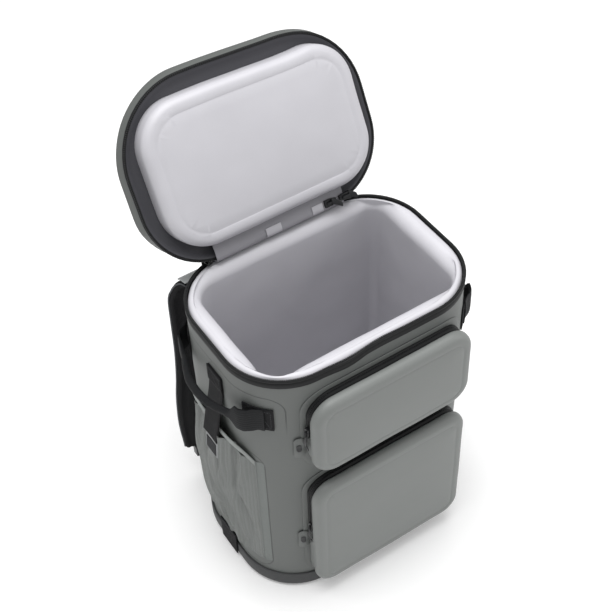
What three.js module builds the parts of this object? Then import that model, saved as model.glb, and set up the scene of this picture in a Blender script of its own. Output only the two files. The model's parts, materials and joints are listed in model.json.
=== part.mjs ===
import * as THREE from "three";

// A cooler backpack with its lid hanging open, in millimetres, +Z up.
// The front with the pockets faces -Y, the back with the shoulder straps faces +Y.
// The origin is the centre of the flat underside.

// Body
const bodyWidth = 330;
const bodyDepth = 228;
const bodyHeight = 423;
const bodyCorner = 80;
const bodyCloth = 2.5;
const clearance = 0.3;

// Boot round the foot of the body
const bootHeight = 28;
const bootCloth = 2.8;
const bootFloor = 3;
const bootRound = 9;

// Padded liner
const sideFoam = 25;
const endFoam = 23;
const floorFoam = 24;
const rimProud = 14;
const rimInnerRound = 16;
const rimOuterRound = 6;
const cavityCorner = 28;
const cavityFloorRound = 22;

// Main zip on the body and on the lid
const zipHeight = 13;
const zipThickness = 3;
const hingeHalfWidth = 94;
const hingeCloth = 2;

// Lid, built closed and then turned open
const lidOpenAngle = 118.2;
const lidPivotIn = 15;
const lidPivotUp = 10;
const lidLap = 1;
const lidCornerMore = 4;
const lidRise = 30;
const lidCloth = 2.5;
const lidEdgeRound = 14;
const lidZipHeight = 8;
const lidFlange = 2.5;
const padSideMargin = 15.5;
const padHingeMargin = 22;
const padFreeMargin = 16;
const padCorner = 54;
const padProud = 20;
const padRound = 13;
const padBackInset = 9;

// Pockets on the front
const pocketZipDepth = 10;
const pocketZipThickness = 3;
const pocketZipInset = 7;
const pocketCorner = 26;
const pocketFaceDepth = 15;
const pocketFaceRound = 11;
const pocketCloth = 2.5;
const upperPocketWrap = 31;
const upperPocketHeight = 119;
const upperPocketDrop = 32;
const upperZipDrop = 53;
const pocketSpacing = 31;
const lowerPocketWrap = 33;
const lowerPocketLift = 2.5;
const lowerZipDrop = 101;

// Zip sliders, pulls and their garages on the pockets
const sliderLength = 15;
const sliderWidth = 8;
const sliderHeight = 5;
const pullLength = 22;
const pullWidth = 5;
const pullThickness = 2.2;
const garageLength = 26;
const garageWidth = 9;
const garageThickness = 2;

// Sliders of the main zip, parked at the end of the hinge
const mainSliderLength = 34;
const mainSliderWidth = 13;
const mainSliderHeight = 7;
const mainSliderIn = 10;
const mainSliderRise = 7;

// Webbing
const webbing = 2;
const sideWebWidth = 38;
const sideWebShift = -6;
const sideWebDrop = 26;
const sideWebTail = 22;
const sideWebTable = [
  { out: 0, down: 0 },
  { out: 0, down: 0.2 },
  { out: 0.12, down: 0.38 },
  { out: 0.42, down: 0.62 },
  { out: 0.82, down: 0.86 },
  { out: 1, down: 1 },
];
const labelWidth = 27;
const labelDrop = 27;
const labelThickness = 3;
const labelShift = -4;
const tabWidth = 40;
const tabShift = 3;
const tabReach = 22;
const tabBottom = 5;

// Side handles: where they are sewn on, then the rows of the grip
const patchStart = 62;
const patchEnd = 104;
const patchHeight = 38;
const patchDrop = 57;
const gripTable = [
  { along: 80, lift: 0, sag: 2, tall: 30, thick: 3 },
  { along: 68, lift: 1, sag: 3, tall: 25, thick: 4 },
  { along: 55, lift: 5, sag: 5, tall: 20, thick: 6 },
  { along: 40, lift: 10, sag: 8, tall: 17, thick: 9 },
  { along: 20, lift: 13.5, sag: 10, tall: 16, thick: 10 },
  { along: 0, lift: 14.5, sag: 11, tall: 16, thick: 10 },
];

// Mesh pockets on the sides
const meshHalfSpan = 73;
const meshAboveTab = 2;
const meshDrop = 131;
const meshCornerDrop = 26;
const meshBulge = 15;
const meshMouthShare = 0.6;
const meshCloth = 1.5;
const hemHeight = 7;
const hemThickness = 2.6;
const bindingWidth = 12;

// Back pad, yoke and shoulder straps
const backPadMargin = 83;
const backPadLift = 46;
const backPadDrop = 51;
const backPadThickness = 13;
const backPadCorner = 45;
const backPadRound = 7;
const yokeMargin = 26;
const yokeCloth = 2.4;
const yokeTable = [
  { out: 0.6, drop: 7.5 },
  { out: 8, drop: 10.2 },
  { out: 15, drop: 13.4 },
  { out: 21, drop: 17.5 },
];
const strapWidth = 62;
const strapThickness = 13;
const strapArchDrop = 65;
const strapEndLift = 42;
const strapTable = [
  { inn: 67, out: 0.1, rise: 20, down: 0, turn: 3 },
  { inn: 65, out: 1.2, rise: 27, down: 0, turn: 3 },
  { inn: 62.5, out: 4.2, rise: 32, down: 0, turn: 3 },
  { inn: 59.5, out: 8.5, rise: 34.5, down: 0, turn: 5 },
  { inn: 56, out: 12, rise: 30, down: 0, turn: 9 },
  { inn: 53, out: 15, rise: 19, down: 0, turn: 14 },
  { inn: 50, out: 18.5, rise: 2, down: 0, turn: 18 },
  { inn: 49, out: 18.5, rise: 0, down: 0.13, turn: 18 },
  { inn: 46, out: 14, rise: 0, down: 0.3, turn: 18 },
  { inn: 42, out: 13.5, rise: 0, down: 0.48, turn: 18 },
  { inn: 37, out: 16.5, rise: 0, down: 0.66, turn: 18 },
  { inn: 34, out: 19.5, rise: 0, down: 0.84, turn: 17 },
  { inn: 36, out: 18, rise: 0, down: 1, turn: 16 },
];
const strapWebWidth = 25;
const strapWebGap = 4.2;
const strapWebCurve = 1.6;
const strapWebTable = [
  { across: 0, down: 0 },
  { across: 0.06, down: 0.42 },
  { across: 0.36, down: 0.66 },
  { across: 0.68, down: 0.83 },
  { across: 0.86, down: 0.91 },
  { across: 1, down: 1 },
];
const anchorIn = 4;
const anchorLift = 3;
const anchorWidth = 34;
const anchorHeight = 26;
const anchorThickness = 4;
const buckleWidth = 36;
const buckleHeight = 13;
const buckleThickness = 7;

// How finely the round shapes are cut
const cornerSteps = 7;
const edgeSteps = 3;

const deg = Math.PI / 180;
const halfWidth = bodyWidth / 2;
const halfDepth = bodyDepth / 2;
const rimTop = bodyHeight + rimProud;
const lidPivotY = halfDepth - lidPivotIn;
const lidPivotZ = rimTop + lidPivotUp;
const lidDepth = bodyDepth + 2 * lidLap;
const lidCorner = bodyCorner + lidCornerMore;
const upperPocketHigh = bodyHeight - upperPocketDrop;
const upperPocketLow = upperPocketHigh - upperPocketHeight;
const lowerPocketHigh = upperPocketLow - pocketSpacing;
const lowerPocketLow = bootHeight + lowerPocketLift - pocketZipInset / 2;
const tabTop = bootHeight + tabReach;
const meshBottom = tabTop + meshAboveTab;
const meshTop = bodyHeight - meshDrop;
const strapSeat = halfDepth + clearance + strapThickness / 2;

const pocketTable = [
  {
    name: "upper",
    width: 2 * (halfWidth - bodyCorner + upperPocketWrap),
    low: upperPocketLow,
    high: upperPocketHigh,
    zipEnd: upperPocketHigh - upperZipDrop,
  },
  {
    name: "lower",
    width: 2 * (halfWidth - bodyCorner + lowerPocketWrap),
    low: lowerPocketLow,
    high: lowerPocketHigh,
    zipEnd: lowerPocketHigh - lowerZipDrop,
  },
];

// Finishes
const finishes = {
  shell: { color: 0x7f8481, roughness: 0.62, metalness: 0 },
  liner: { color: 0xd3d3d8, roughness: 0.55, metalness: 0 },
  zip: { color: 0x2e2f30, roughness: 0.6, metalness: 0 },
  trim: { color: 0x454748, roughness: 0.65, metalness: 0 },
  webbing: { color: 0x1d1e20, roughness: 0.85, metalness: 0 },
  mesh: { color: 0x7c807f, roughness: 0.9, metalness: 0 },
  plastic: { color: 0x17181a, roughness: 0.4, metalness: 0 },
  label: { color: 0x26272a, roughness: 0.8, metalness: 0 },
  strap: { color: 0x222325, roughness: 0.9, metalness: 0 },
  yoke: { color: 0xa9acac, roughness: 0.7, metalness: 0 },
};

// Points of a rounded rectangle, counter-clockwise, centred on cx, cy.
function roundedRect(halfX, halfY, radius, steps = cornerSteps, cx = 0, cy = 0) {
  const r = Math.max(Math.min(radius, halfX - 0.01, halfY - 0.01), 0.05);
  const corners = [[1, 1, 0], [-1, 1, 90], [-1, -1, 180], [1, -1, 270]];
  const points = [];
  for (const [sx, sy, start] of corners) {
    for (let i = 0; i <= steps; i += 1) {
      const a = (start + (90 * i) / steps) * deg;
      const x = cx + sx * (halfX - r) + r * Math.cos(a);
      const y = cy + sy * (halfY - r) + r * Math.sin(a);
      points.push([x, y]);
    }
  }
  return points;
}

// A closed triangle mesh from points and faces, turned so that it faces out.
function solid(points, faces) {
  let volume = 0;
  for (const [a, b, c] of faces) {
    volume += points[a].dot(points[b].clone().cross(points[c]));
  }
  const ordered = volume < 0 ? faces.map(([a, b, c]) => [a, c, b]) : faces;
  const geometry = new THREE.BufferGeometry();
  const flat = points.flatMap((p) => [p.x, p.y, p.z]);
  geometry.setAttribute("position", new THREE.Float32BufferAttribute(flat, 3));
  geometry.setIndex(ordered.flat());
  geometry.computeVertexNormals();
  return geometry;
}

// Joins rings of equal length one after another. An open loft is capped at both ends,
// and a closed one runs from its last ring back to its first.
function loft(rings, closed = false) {
  const size = rings[0].length;
  const points = rings.flat();
  const faces = [];
  const last = closed ? rings.length : rings.length - 1;
  for (let k = 0; k < last; k += 1) {
    const low = k * size;
    const high = ((k + 1) % rings.length) * size;
    for (let i = 0; i < size; i += 1) {
      const j = (i + 1) % size;
      faces.push([low + i, low + j, high + j]);
      faces.push([low + i, high + j, high + i]);
    }
  }
  if (!closed) {
    for (const [start, flip] of [[0, true], [(rings.length - 1) * size, false]]) {
      const middle = points.length;
      const centre = new THREE.Vector3();
      for (let i = 0; i < size; i += 1) {
        centre.add(points[start + i]);
      }
      points.push(centre.divideScalar(size));
      for (let i = 0; i < size; i += 1) {
        const j = (i + 1) % size;
        faces.push(flip ? [middle, start + j, start + i] : [middle, start + i, start + j]);
      }
    }
  }
  return solid(points, faces);
}

// A quarter round between two rows of a profile, as inset and rise from 0 to 1.
function quarter(steps = edgeSteps) {
  const rows = [];
  for (let i = 0; i <= steps; i += 1) {
    const a = (90 * i * deg) / steps;
    rows.push([Math.sin(a), 1 - Math.cos(a)]);
  }
  return rows;
}

// Rings of a rounded rectangle that follows rows of inset and height.
function ringsAt(halfX, halfY, radius, rows, cx = 0, cy = 0) {
  return rows.map(({ inset, z, corner }) => {
    const r = corner === undefined ? radius - inset : corner;
    const outline = roundedRect(halfX - inset, halfY - inset, r, cornerSteps, cx, cy);
    return outline.map(([x, y]) => new THREE.Vector3(x, y, z));
  });
}

// A point beside the wall: along runs over the side from its middle towards the back,
// standOff is measured straight out from the cloth. side is +1 on the right, -1 on the left.
const sideFlat = halfDepth - bodyCorner;
function besideWall(side, along, standOff, z) {
  const over = Math.max(Math.abs(along) - sideFlat, 0);
  const a = over / bodyCorner;
  const way = Math.sign(along);
  const reach = bodyCorner + standOff;
  const x = halfWidth - bodyCorner + reach * Math.cos(a);
  const y = over > 0 ? way * (sideFlat + reach * Math.sin(a)) : along;
  return new THREE.Vector3(side * x, y, z);
}

// The y of the front wall at x, where the body's corners already turn back.
function frontWall(x) {
  const over = Math.max(Math.abs(x) - (halfWidth - bodyCorner), 0);
  return -(halfDepth - bodyCorner) - Math.sqrt(bodyCorner ** 2 - over ** 2);
}

// A flat strap between rows of centre lines. Each row has its centre, the way across
// its width and the way through its thickness, with both sizes.
function strapSolid(rows, cut = 0) {
  const rings = rows.map(({ centre, across, through, wide, thick }) => {
    const w = wide / 2;
    const t = thick / 2;
    const c = Math.min(cut, t * 0.9);
    const plain = [[w, t], [-w, t], [-w, -t], [w, -t]];
    const chamfered = [
      [w, t - c], [w - c, t], [c - w, t], [-w, t - c],
      [-w, c - t], [c - w, -t], [w - c, -t], [w, c - t],
    ];
    const outline = cut > 0 ? chamfered : plain;
    return outline.map(([a, b]) => centre.clone()
      .addScaledVector(across, a)
      .addScaledVector(through, b));
  });
  return loft(rings);
}

// Rows of a strap that lies on the side wall between two places along it.
function wallStrap(side, from, to, standOff, z, tall, thick) {
  const count = Math.max(2, Math.ceil(Math.abs(to - from) / 7) + 1);
  const rings = [];
  for (let i = 0; i < count; i += 1) {
    const along = from + ((to - from) * i) / (count - 1);
    rings.push([
      besideWall(side, along, standOff, z - tall / 2),
      besideWall(side, along, standOff, z + tall / 2),
      besideWall(side, along, standOff + thick, z + tall / 2),
      besideWall(side, along, standOff + thick, z - tall / 2),
    ]);
  }
  return loft(rings);
}

// A box with its edges cut, given by centre, half sizes and a turn.
function block(halfX, halfY, halfZ, cut) {
  const rows = [
    { inset: cut, z: -halfZ },
    { inset: 0, z: -halfZ + cut },
    { inset: 0, z: halfZ - cut },
    { inset: cut, z: halfZ },
  ];
  const rings = rows.map(({ inset, z }) => {
    const outline = roundedRect(halfX - inset, halfY - inset, cut, 2);
    return outline.map(([x, y]) => new THREE.Vector3(x, y, z));
  });
  return loft(rings);
}

function piece(parent, name, geometry, finish) {
  const material = new THREE.MeshStandardMaterial(finishes[finish]);
  const mesh = new THREE.Mesh(geometry, material);
  mesh.name = name;
  parent.add(mesh);
  return mesh;
}

// Boot: a dark tray that the body stands in.
function addBoot(parent) {
  const outer = bootCloth + clearance;
  const rows = quarter().reverse().map(([inset, rise]) => (
    { inset: bootRound * (1 - inset) - outer, z: bootRound * (1 - rise) }
  ));
  const foot = rows.map(({ inset, z }) => ({ inset, z: bootRound - z }));
  foot.sort((p, q) => p.z - q.z);
  const innerRound = bootRound - bootFloor;
  const profile = [
    ...foot,
    { inset: -outer, z: bootHeight },
    { inset: -clearance, z: bootHeight },
    { inset: -clearance, z: bootFloor + innerRound },
    { inset: innerRound * 0.3 - clearance, z: bootFloor + innerRound * 0.3 },
    { inset: innerRound - clearance, z: bootFloor },
  ];
  piece(parent, "base_boot", loft(ringsAt(halfWidth, halfDepth, bodyCorner, profile)), "trim");
}

// Body shell: an open tub of coated cloth.
function addBody(parent) {
  const low = bootFloor + clearance;
  const round = bootRound - bootFloor;
  const profile = [
    { inset: round, z: low },
    { inset: round * 0.3, z: low + round * 0.3 },
    { inset: 0, z: low + round },
    { inset: 0, z: bodyHeight },
    { inset: bodyCloth, z: bodyHeight },
    { inset: bodyCloth, z: low + round },
    { inset: round, z: low + bodyCloth },
  ];
  piece(parent, "body_shell", loft(ringsAt(halfWidth, halfDepth, bodyCorner, profile)), "shell");
}

// Liner: thick foam under white cloth, with a crowned rim and an open cavity.
function addLiner(parent) {
  const skin = bodyCloth + clearance;
  const low = bootFloor + clearance + bodyCloth + clearance;
  const foot = 8;
  const outerX = halfWidth - skin;
  const outerY = halfDepth - skin;
  const outerCorner = bodyCorner - skin;
  const cavityX = outerX - sideFoam;
  const cavityY = outerY - endFoam;
  const ring = (halfX, halfY, corner, z) => (
    roundedRect(halfX, halfY, corner).map(([x, y]) => new THREE.Vector3(x, y, z))
  );
  const rings = [
    ring(outerX - foot, outerY - foot, outerCorner - foot, low),
    ring(outerX, outerY, outerCorner, low + foot),
  ];
  for (const [s, c] of quarter()) {
    const inset = rimOuterRound * c;
    const z = rimTop - rimOuterRound * (1 - s);
    rings.push(ring(outerX - inset, outerY - inset, outerCorner - inset, z));
  }
  const crownCorner = outerCorner - rimOuterRound;
  for (const [s, c] of quarter(4)) {
    const grow = rimInnerRound * (1 - s);
    const z = rimTop - rimInnerRound * c;
    const corner = cavityCorner + (crownCorner - cavityCorner) * (1 - s);
    rings.push(ring(cavityX + grow, cavityY + grow, corner, z));
  }
  const floorTop = low + floorFoam;
  for (const [s, c] of quarter().reverse()) {
    const inset = cavityFloorRound * (1 - s);
    const z = floorTop + cavityFloorRound * c;
    const corner = cavityCorner - inset;
    rings.push(ring(cavityX - inset, cavityY - inset, corner, z));
  }
  const tidy = rings.filter((r, i) => i === 0 || r[0].distanceTo(rings[i - 1][0]) > 0.01);
  piece(parent, "liner", loft(tidy), "liner");
}

// The main zip on the body stops on both sides of the hinge.
function addBodyZip(parent) {
  const outline = (offset) => {
    const pts = roundedRect(halfWidth + offset, halfDepth + offset, bodyCorner + offset);
    const back = pts.slice(cornerSteps + 1);
    const path = [...back, ...pts.slice(0, cornerSteps + 1)];
    const y = halfDepth + offset;
    return [[-hingeHalfWidth - 3, y], ...path, [hingeHalfWidth + 3, y]];
  };
  const thin = (path) => path.filter(([x, y]) => (
    Math.abs(x) > hingeHalfWidth + 2.9 || y < 0
  ));
  const outer = thin(outline(0.6));
  const inner = thin(outline(0.6 - zipThickness));
  const low = bodyHeight + clearance;
  const high = low + zipHeight;
  const rings = outer.map(([x, y], i) => [
    new THREE.Vector3(x, y, low),
    new THREE.Vector3(x, y, high),
    new THREE.Vector3(inner[i][0], inner[i][1], high),
    new THREE.Vector3(inner[i][0], inner[i][1], low),
  ]);
  piece(parent, "body_zip_band", loft(rings), "zip");
}

// Directions of the open lid: up its inside, and straight out of its inside.
const lidTurn = lidOpenAngle * deg;
const lidUp = new THREE.Vector3(0, -Math.cos(lidTurn), Math.sin(lidTurn));
const lidOut = new THREE.Vector3(0, -Math.sin(lidTurn), -Math.cos(lidTurn));

function onLid(x, up, out) {
  return new THREE.Vector3(x, lidPivotY, lidPivotZ)
    .addScaledVector(lidUp, up)
    .addScaledVector(lidOut, out);
}

// The hinge is a strip of cloth from the body's back, under the lid and up its inside.
function addHinge(parent) {
  const half = hingeCloth / 2;
  const air = half + 0.45;
  const wallY = halfDepth - half - 0.1;
  const path = [
    new THREE.Vector3(0, wallY, bodyHeight + clearance),
    new THREE.Vector3(0, wallY, rimTop - 5),
    new THREE.Vector3(0, wallY - 1.2, rimTop - 0.4),
    onLid(0, -air, -11),
    onLid(0, -air, -5),
    onLid(0, -air, air),
    onLid(0, 3, air),
    onLid(0, padHingeMargin - 3, air),
  ];
  const across = new THREE.Vector3(1, 0, 0);
  const rows = path.map((centre, i) => {
    const before = path[Math.max(i - 1, 0)];
    const after = path[Math.min(i + 1, path.length - 1)];
    const into = centre.clone().sub(before).normalize();
    const outof = after.clone().sub(centre).normalize();
    const along = into.clone().add(outof).normalize();
    const bend = Math.max(along.dot(i === 0 ? outof : into), 0.6);
    const through = across.clone().cross(along).normalize();
    return { centre, across, through, wide: 2 * hingeHalfWidth, thick: hingeCloth / bend };
  });
  piece(parent, "hinge_panel", strapSolid(rows), "liner");
}

// Lid parts are built closed, hinged at y 0 and reaching to -lidDepth, and turned as one.
function addLid(parent) {
  const lid = new THREE.Group();
  lid.name = "lid";
  lid.position.set(0, lidPivotY, lidPivotZ);
  lid.rotation.x = -lidTurn;
  parent.add(lid);
  const middle = -lidDepth / 2;
  const halfLid = lidDepth / 2;

  const low = lidZipHeight + clearance;
  const shellRows = [{ inset: lidCloth, z: low }, { inset: 0, z: low }];
  for (const [s, c] of quarter()) {
    const z = lidRise - lidEdgeRound * (1 - s);
    shellRows.push({ inset: lidEdgeRound * c, z });
  }
  const innerTop = lidRise - lidCloth;
  const innerRound = lidEdgeRound - lidCloth;
  const dishRows = quarter().map(([s, c]) => (
    { inset: lidCloth + innerRound * c, z: innerTop - innerRound * (1 - s) }
  ));
  const dish = [...dishRows].reverse();
  const shellRings = ringsAt(halfWidth, halfLid, lidCorner, shellRows.slice(1), 0, middle);
  const outside = [...shellRings].reverse();
  const lip = ringsAt(halfWidth, halfLid, lidCorner, [{ inset: lidCloth, z: low }], 0, middle);
  const inside = ringsAt(halfWidth, halfLid, lidCorner, dish, 0, middle).reverse();
  piece(lid, "lid_shell", loft([...outside, ...lip, ...inside]), "shell");

  // Zip band of the lid: a lip under the shell and a flange in to the pad.
  const padX = halfWidth - padSideMargin;
  const padY = (lidDepth - padHingeMargin - padFreeMargin) / 2;
  const padMiddle = -padHingeMargin - padY;
  const outer = roundedRect(halfWidth, halfLid, lidCorner, cornerSteps, 0, middle);
  const lipIn = zipThickness;
  const mid = roundedRect(
    halfWidth - lipIn, halfLid - lipIn, lidCorner - lipIn, cornerSteps, 0, middle,
  );
  const gap = 0.6;
  const inner = roundedRect(padX + gap, padY + gap, padCorner + gap, cornerSteps, 0, padMiddle);
  const at = ([x, y], z) => new THREE.Vector3(x, y, z);
  const bandRings = [
    outer.map((p) => at(p, 0)),
    outer.map((p) => at(p, lidZipHeight)),
    mid.map((p) => at(p, lidZipHeight)),
    mid.map((p) => at(p, lidFlange)),
    inner.map((p) => at(p, lidFlange)),
    inner.map((p) => at(p, 0)),
  ];
  piece(lid, "lid_zip_band", loft(bandRings, true), "zip");

  // Pad: foam that fills the lid and stands proud of it.
  const padRows = [{ inset: padBackInset, z: innerTop - clearance }];
  const waist = { inset: 0, z: innerTop - innerRound };
  const crown = quarter(4).map(([s, c]) => (
    { inset: padRound * c, z: -padProud + padRound * (1 - s) }
  ));
  const rows = [padRows[0], waist, ...crown];
  const plateau = { inset: padRound + 12, z: -padProud - 2 };
  const padRings = ringsAt(padX, padY, padCorner, [...rows, plateau], 0, padMiddle);
  piece(lid, "lid_pad", loft(padRings), "liner");

  // The two sliders of the main zip stand together where the zip ends at the hinge.
  const sliders = block(mainSliderLength / 2, mainSliderWidth / 2, mainSliderHeight / 2, 1.5);
  const parked = piece(lid, "main_zip_sliders", sliders, "plastic");
  const lift = hingeCloth + 0.9 + clearance + mainSliderHeight / 2;
  parked.position.set(hingeHalfWidth - mainSliderIn, -mainSliderRise, -lift);
}

// A pocket on the front: its zip, the plain cloth below the zip's ends, and its face.
function addPocket(parent, { name, width, low, high, zipEnd }) {
  const halfX = width / 2;
  const halfZ = (high - low) / 2;
  const midZ = (high + low) / 2;
  const zipX = halfX - pocketZipInset;
  const zipZ = halfZ - pocketZipInset / 2;
  const zipY = -halfDepth - pocketZipDepth;
  const edge = pocketCorner - pocketZipInset / 2;
  const outer = roundedRect(zipX, zipZ, edge, cornerSteps, 0, midZ);
  const inX = zipX - pocketZipThickness;
  const inZ = zipZ - pocketZipThickness;
  const inner = roundedRect(inX, inZ, edge - pocketZipThickness, cornerSteps, 0, midZ);
  const bandRing = (out, inn) => [
    new THREE.Vector3(out[0], frontWall(out[0]) - clearance, out[1]),
    new THREE.Vector3(out[0], zipY, out[1]),
    new THREE.Vector3(inn[0], zipY, inn[1]),
    new THREE.Vector3(inn[0], frontWall(inn[0]) - clearance, inn[1]),
  ];
  const half = 2 * (cornerSteps + 1);
  const over = [[zipX, zipEnd], ...outer.slice(0, half), [-zipX, zipEnd]];
  const overIn = [[inX, zipEnd], ...inner.slice(0, half), [-inX, zipEnd]];
  piece(parent, `${name}_pocket_zip`, loft(over.map((p, i) => bandRing(p, overIn[i]))), "zip");
  const below = zipEnd - clearance;
  const under = [[-zipX, below], ...outer.slice(half), [zipX, below]];
  const underIn = [[-inX, below], ...inner.slice(half), [inX, below]];
  const gusset = loft(under.map((p, i) => bandRing(p, underIn[i])));
  piece(parent, `${name}_pocket_gusset`, gusset, "shell");

  const backY = zipY - clearance;
  const faceRing = (inset, y) => (
    roundedRect(halfX - inset, halfZ - inset, pocketCorner - inset, cornerSteps, 0, midZ)
      .map(([x, z]) => new THREE.Vector3(x, y, z))
  );
  const rings = [];
  const frontY = backY - pocketFaceDepth;
  for (const [s, c] of quarter(4)) {
    rings.push(faceRing(pocketFaceRound * c, frontY + pocketFaceRound * (1 - s)));
  }
  rings.reverse();
  rings.push(faceRing(0, backY));
  rings.push(faceRing(pocketCloth, backY));
  const hollow = pocketFaceRound - pocketCloth;
  for (const [s, c] of quarter()) {
    const inset = pocketCloth + hollow * c;
    rings.push(faceRing(inset, frontY + pocketCloth + hollow * (1 - s)));
  }
  piece(parent, `${name}_pocket_face`, loft(rings), "shell");

  // The slider is parked at the left end of the zip, beside the band.
  const sliderX = -zipX - clearance - sliderHeight / 2;
  const sliderY = zipY + sliderWidth / 2 + 0.6;
  const slider = piece(
    parent,
    `${name}_pocket_slider`,
    block(sliderHeight / 2, sliderWidth / 2, sliderLength / 2, 1.2),
    "plastic",
  );
  slider.position.set(sliderX, sliderY, zipEnd + sliderLength / 2);
  const pull = piece(
    parent,
    `${name}_pocket_pull`,
    block(pullThickness / 2, pullWidth / 2, pullLength / 2, 0.9),
    "webbing",
  );
  const pullX = sliderX - sliderHeight / 2 + pullThickness / 2;
  pull.position.set(pullX, sliderY, zipEnd - clearance - pullLength / 2);
}

// A parking patch on the body beside each zip end.
function addGarage(parent, { name, width, zipEnd }) {
  const x = width / 2 - pocketZipInset + sliderHeight + 3;
  const rings = [];
  for (const share of [0, 0.5, 1]) {
    const px = -x - garageWidth * share;
    const y = frontWall(px);
    const over = Math.abs(px) - (halfWidth - bodyCorner);
    const lean = over / bodyCorner;
    const out = new THREE.Vector3(-lean, -Math.sqrt(1 - lean * lean), 0);
    const root = new THREE.Vector3(px, y, 0).addScaledVector(out, clearance);
    const tip = root.clone().addScaledVector(out, garageThickness);
    const top = zipEnd + sliderLength * 0.6;
    const bottom = top - garageLength;
    rings.push([
      new THREE.Vector3(root.x, root.y, bottom),
      new THREE.Vector3(root.x, root.y, top),
      new THREE.Vector3(tip.x, tip.y, top),
      new THREE.Vector3(tip.x, tip.y, bottom),
    ]);
  }
  piece(parent, `${name}_pocket_garage`, loft(rings), "shell");
}

// Webbing, label, handle, mesh pocket and tab on one side.
function addSide(parent, side) {
  const tag = side < 0 ? "left" : "right";
  piece(parent, `side_webbing_${tag}`, sideWebbing(side), "webbing");

  const patchZ = bodyHeight - patchDrop;
  for (const [end, way] of [["front", -1], ["back", 1]]) {
    const patch = wallStrap(
      side, way * patchStart, way * patchEnd, clearance, patchZ, patchHeight, webbing,
    );
    piece(parent, `handle_patch_${end}_${tag}`, patch, "webbing");
  }

  const table = [
    ...gripTable.map((row) => ({ ...row, along: -row.along })),
    ...[...gripTable].reverse().slice(1),
  ];
  const onPatch = 2 * clearance + webbing;
  const rows = table.map(({ along, lift, sag, tall, thick }) => {
    const standOff = onPatch + thick / 2 + lift;
    const centre = besideWall(side, along, standOff, patchZ - sag);
    const further = besideWall(side, along, standOff + 10, patchZ - sag);
    return {
      centre,
      across: new THREE.Vector3(0, 0, 1),
      through: further.sub(centre).normalize(),
      wide: tall,
      thick,
    };
  });
  piece(parent, `handle_grip_${tag}`, strapSolid(rows, 3.2), "webbing");

  addMeshPocket(parent, side, tag);
  piece(parent, `label_loop_${tag}`, sideLabel(side), "label");

  const tab = wallStrap(
    side,
    tabShift - tabWidth / 2,
    tabShift + tabWidth / 2,
    bootCloth + 2 * clearance,
    (tabTop + tabBottom) / 2,
    tabTop - tabBottom,
    webbing,
  );
  piece(parent, `base_tab_${tag}`, tab, "webbing");
}

// How far the mesh stands off the wall: nothing at its sewn edges, most at two thirds
// of its height, and drawn in again by the hem at its mouth.
function meshLift(share, height) {
  const across = Math.cos(share * 90 * deg) ** 0.7;
  const rise = Math.sin(Math.min(height * 1.5, 1) * 90 * deg);
  const near = THREE.MathUtils.smoothstep(height, 0.78, 1);
  return clearance + meshBulge * across * rise * (1 - (1 - meshMouthShare) * near);
}

function meshMouth(share) {
  return meshTop - meshCornerDrop * Math.abs(share) ** 5;
}

// The webbing leaves the wall below the handle and hangs over the hem of the mesh.
function sideWebbing(side) {
  const high = bodyHeight - sideWebDrop;
  const mouth = meshTop + hemHeight + clearance;
  const reach = meshLift(0, 1) + hemThickness;
  const rows = sideWebTable.map(({ out, down }) => (
    { standOff: clearance + reach * out, z: high - (high - mouth) * down }
  ));
  const tail = rows[rows.length - 1];
  rows.push({ standOff: tail.standOff + sideWebTail * 0.2, z: tail.z - sideWebTail });
  return hangingStrap(side, rows, sideWebShift, sideWebWidth, webbing);
}

function sideLabel(side) {
  const mouth = meshTop + hemHeight + clearance;
  const reach = clearance + meshLift(0, 1) + hemThickness + sideWebTail * 0.2;
  const top = mouth - sideWebTail - clearance;
  const rows = [
    { standOff: reach, z: top },
    { standOff: reach + 2, z: top - labelDrop },
  ];
  return hangingStrap(side, rows, sideWebShift + labelShift, labelWidth, labelThickness);
}

// A strap that hangs down one side, from rows of how far off the wall it is at a height.
function hangingStrap(side, rows, shift, wide, thick) {
  const rings = rows.map(({ standOff, z }) => {
    const x = halfWidth + standOff;
    return [
      new THREE.Vector3(side * x, shift - wide / 2, z),
      new THREE.Vector3(side * (x + thick), shift - wide / 2, z),
      new THREE.Vector3(side * (x + thick), shift + wide / 2, z),
      new THREE.Vector3(side * x, shift + wide / 2, z),
    ];
  });
  return loft(rings);
}

function addMeshPocket(parent, side, tag) {
  const wide = 20;
  const tall = 8;
  const rings = [];
  for (let i = 0; i <= wide; i += 1) {
    const share = (2 * i) / wide - 1;
    const along = share * meshHalfSpan;
    const inner = [];
    const outer = [];
    for (let j = 0; j <= tall; j += 1) {
      const height = j / tall;
      const z = meshBottom + (meshMouth(share) - meshBottom) * height;
      const lift = meshLift(share, height);
      inner.push(besideWall(side, along, lift, z));
      outer.push(besideWall(side, along, lift + meshCloth, z));
    }
    rings.push([...inner, ...outer.reverse()]);
  }
  piece(parent, `mesh_pocket_${tag}`, stripLoft(rings), "mesh");

  const hemRings = [];
  for (let i = 0; i <= wide; i += 1) {
    const share = (2 * i) / wide - 1;
    const along = share * meshHalfSpan;
    const z = meshMouth(share) + clearance;
    const lift = meshLift(share, 1);
    hemRings.push([
      besideWall(side, along, lift, z),
      besideWall(side, along, lift + hemThickness, z),
      besideWall(side, along, lift + hemThickness, z + hemHeight),
      besideWall(side, along, lift, z + hemHeight),
    ]);
  }
  piece(parent, `mesh_hem_${tag}`, loft(hemRings), "mesh");

  for (const [end, way] of [["front", -1], ["back", 1]]) {
    const from = way * (meshHalfSpan + clearance);
    const top = meshMouth(1) + hemHeight;
    const binding = wallStrap(
      side,
      from,
      from + way * bindingWidth,
      clearance,
      (meshBottom + top) / 2,
      top - meshBottom,
      webbing,
    );
    piece(parent, `mesh_binding_${end}_${tag}`, binding, "shell");
  }
}

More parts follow.
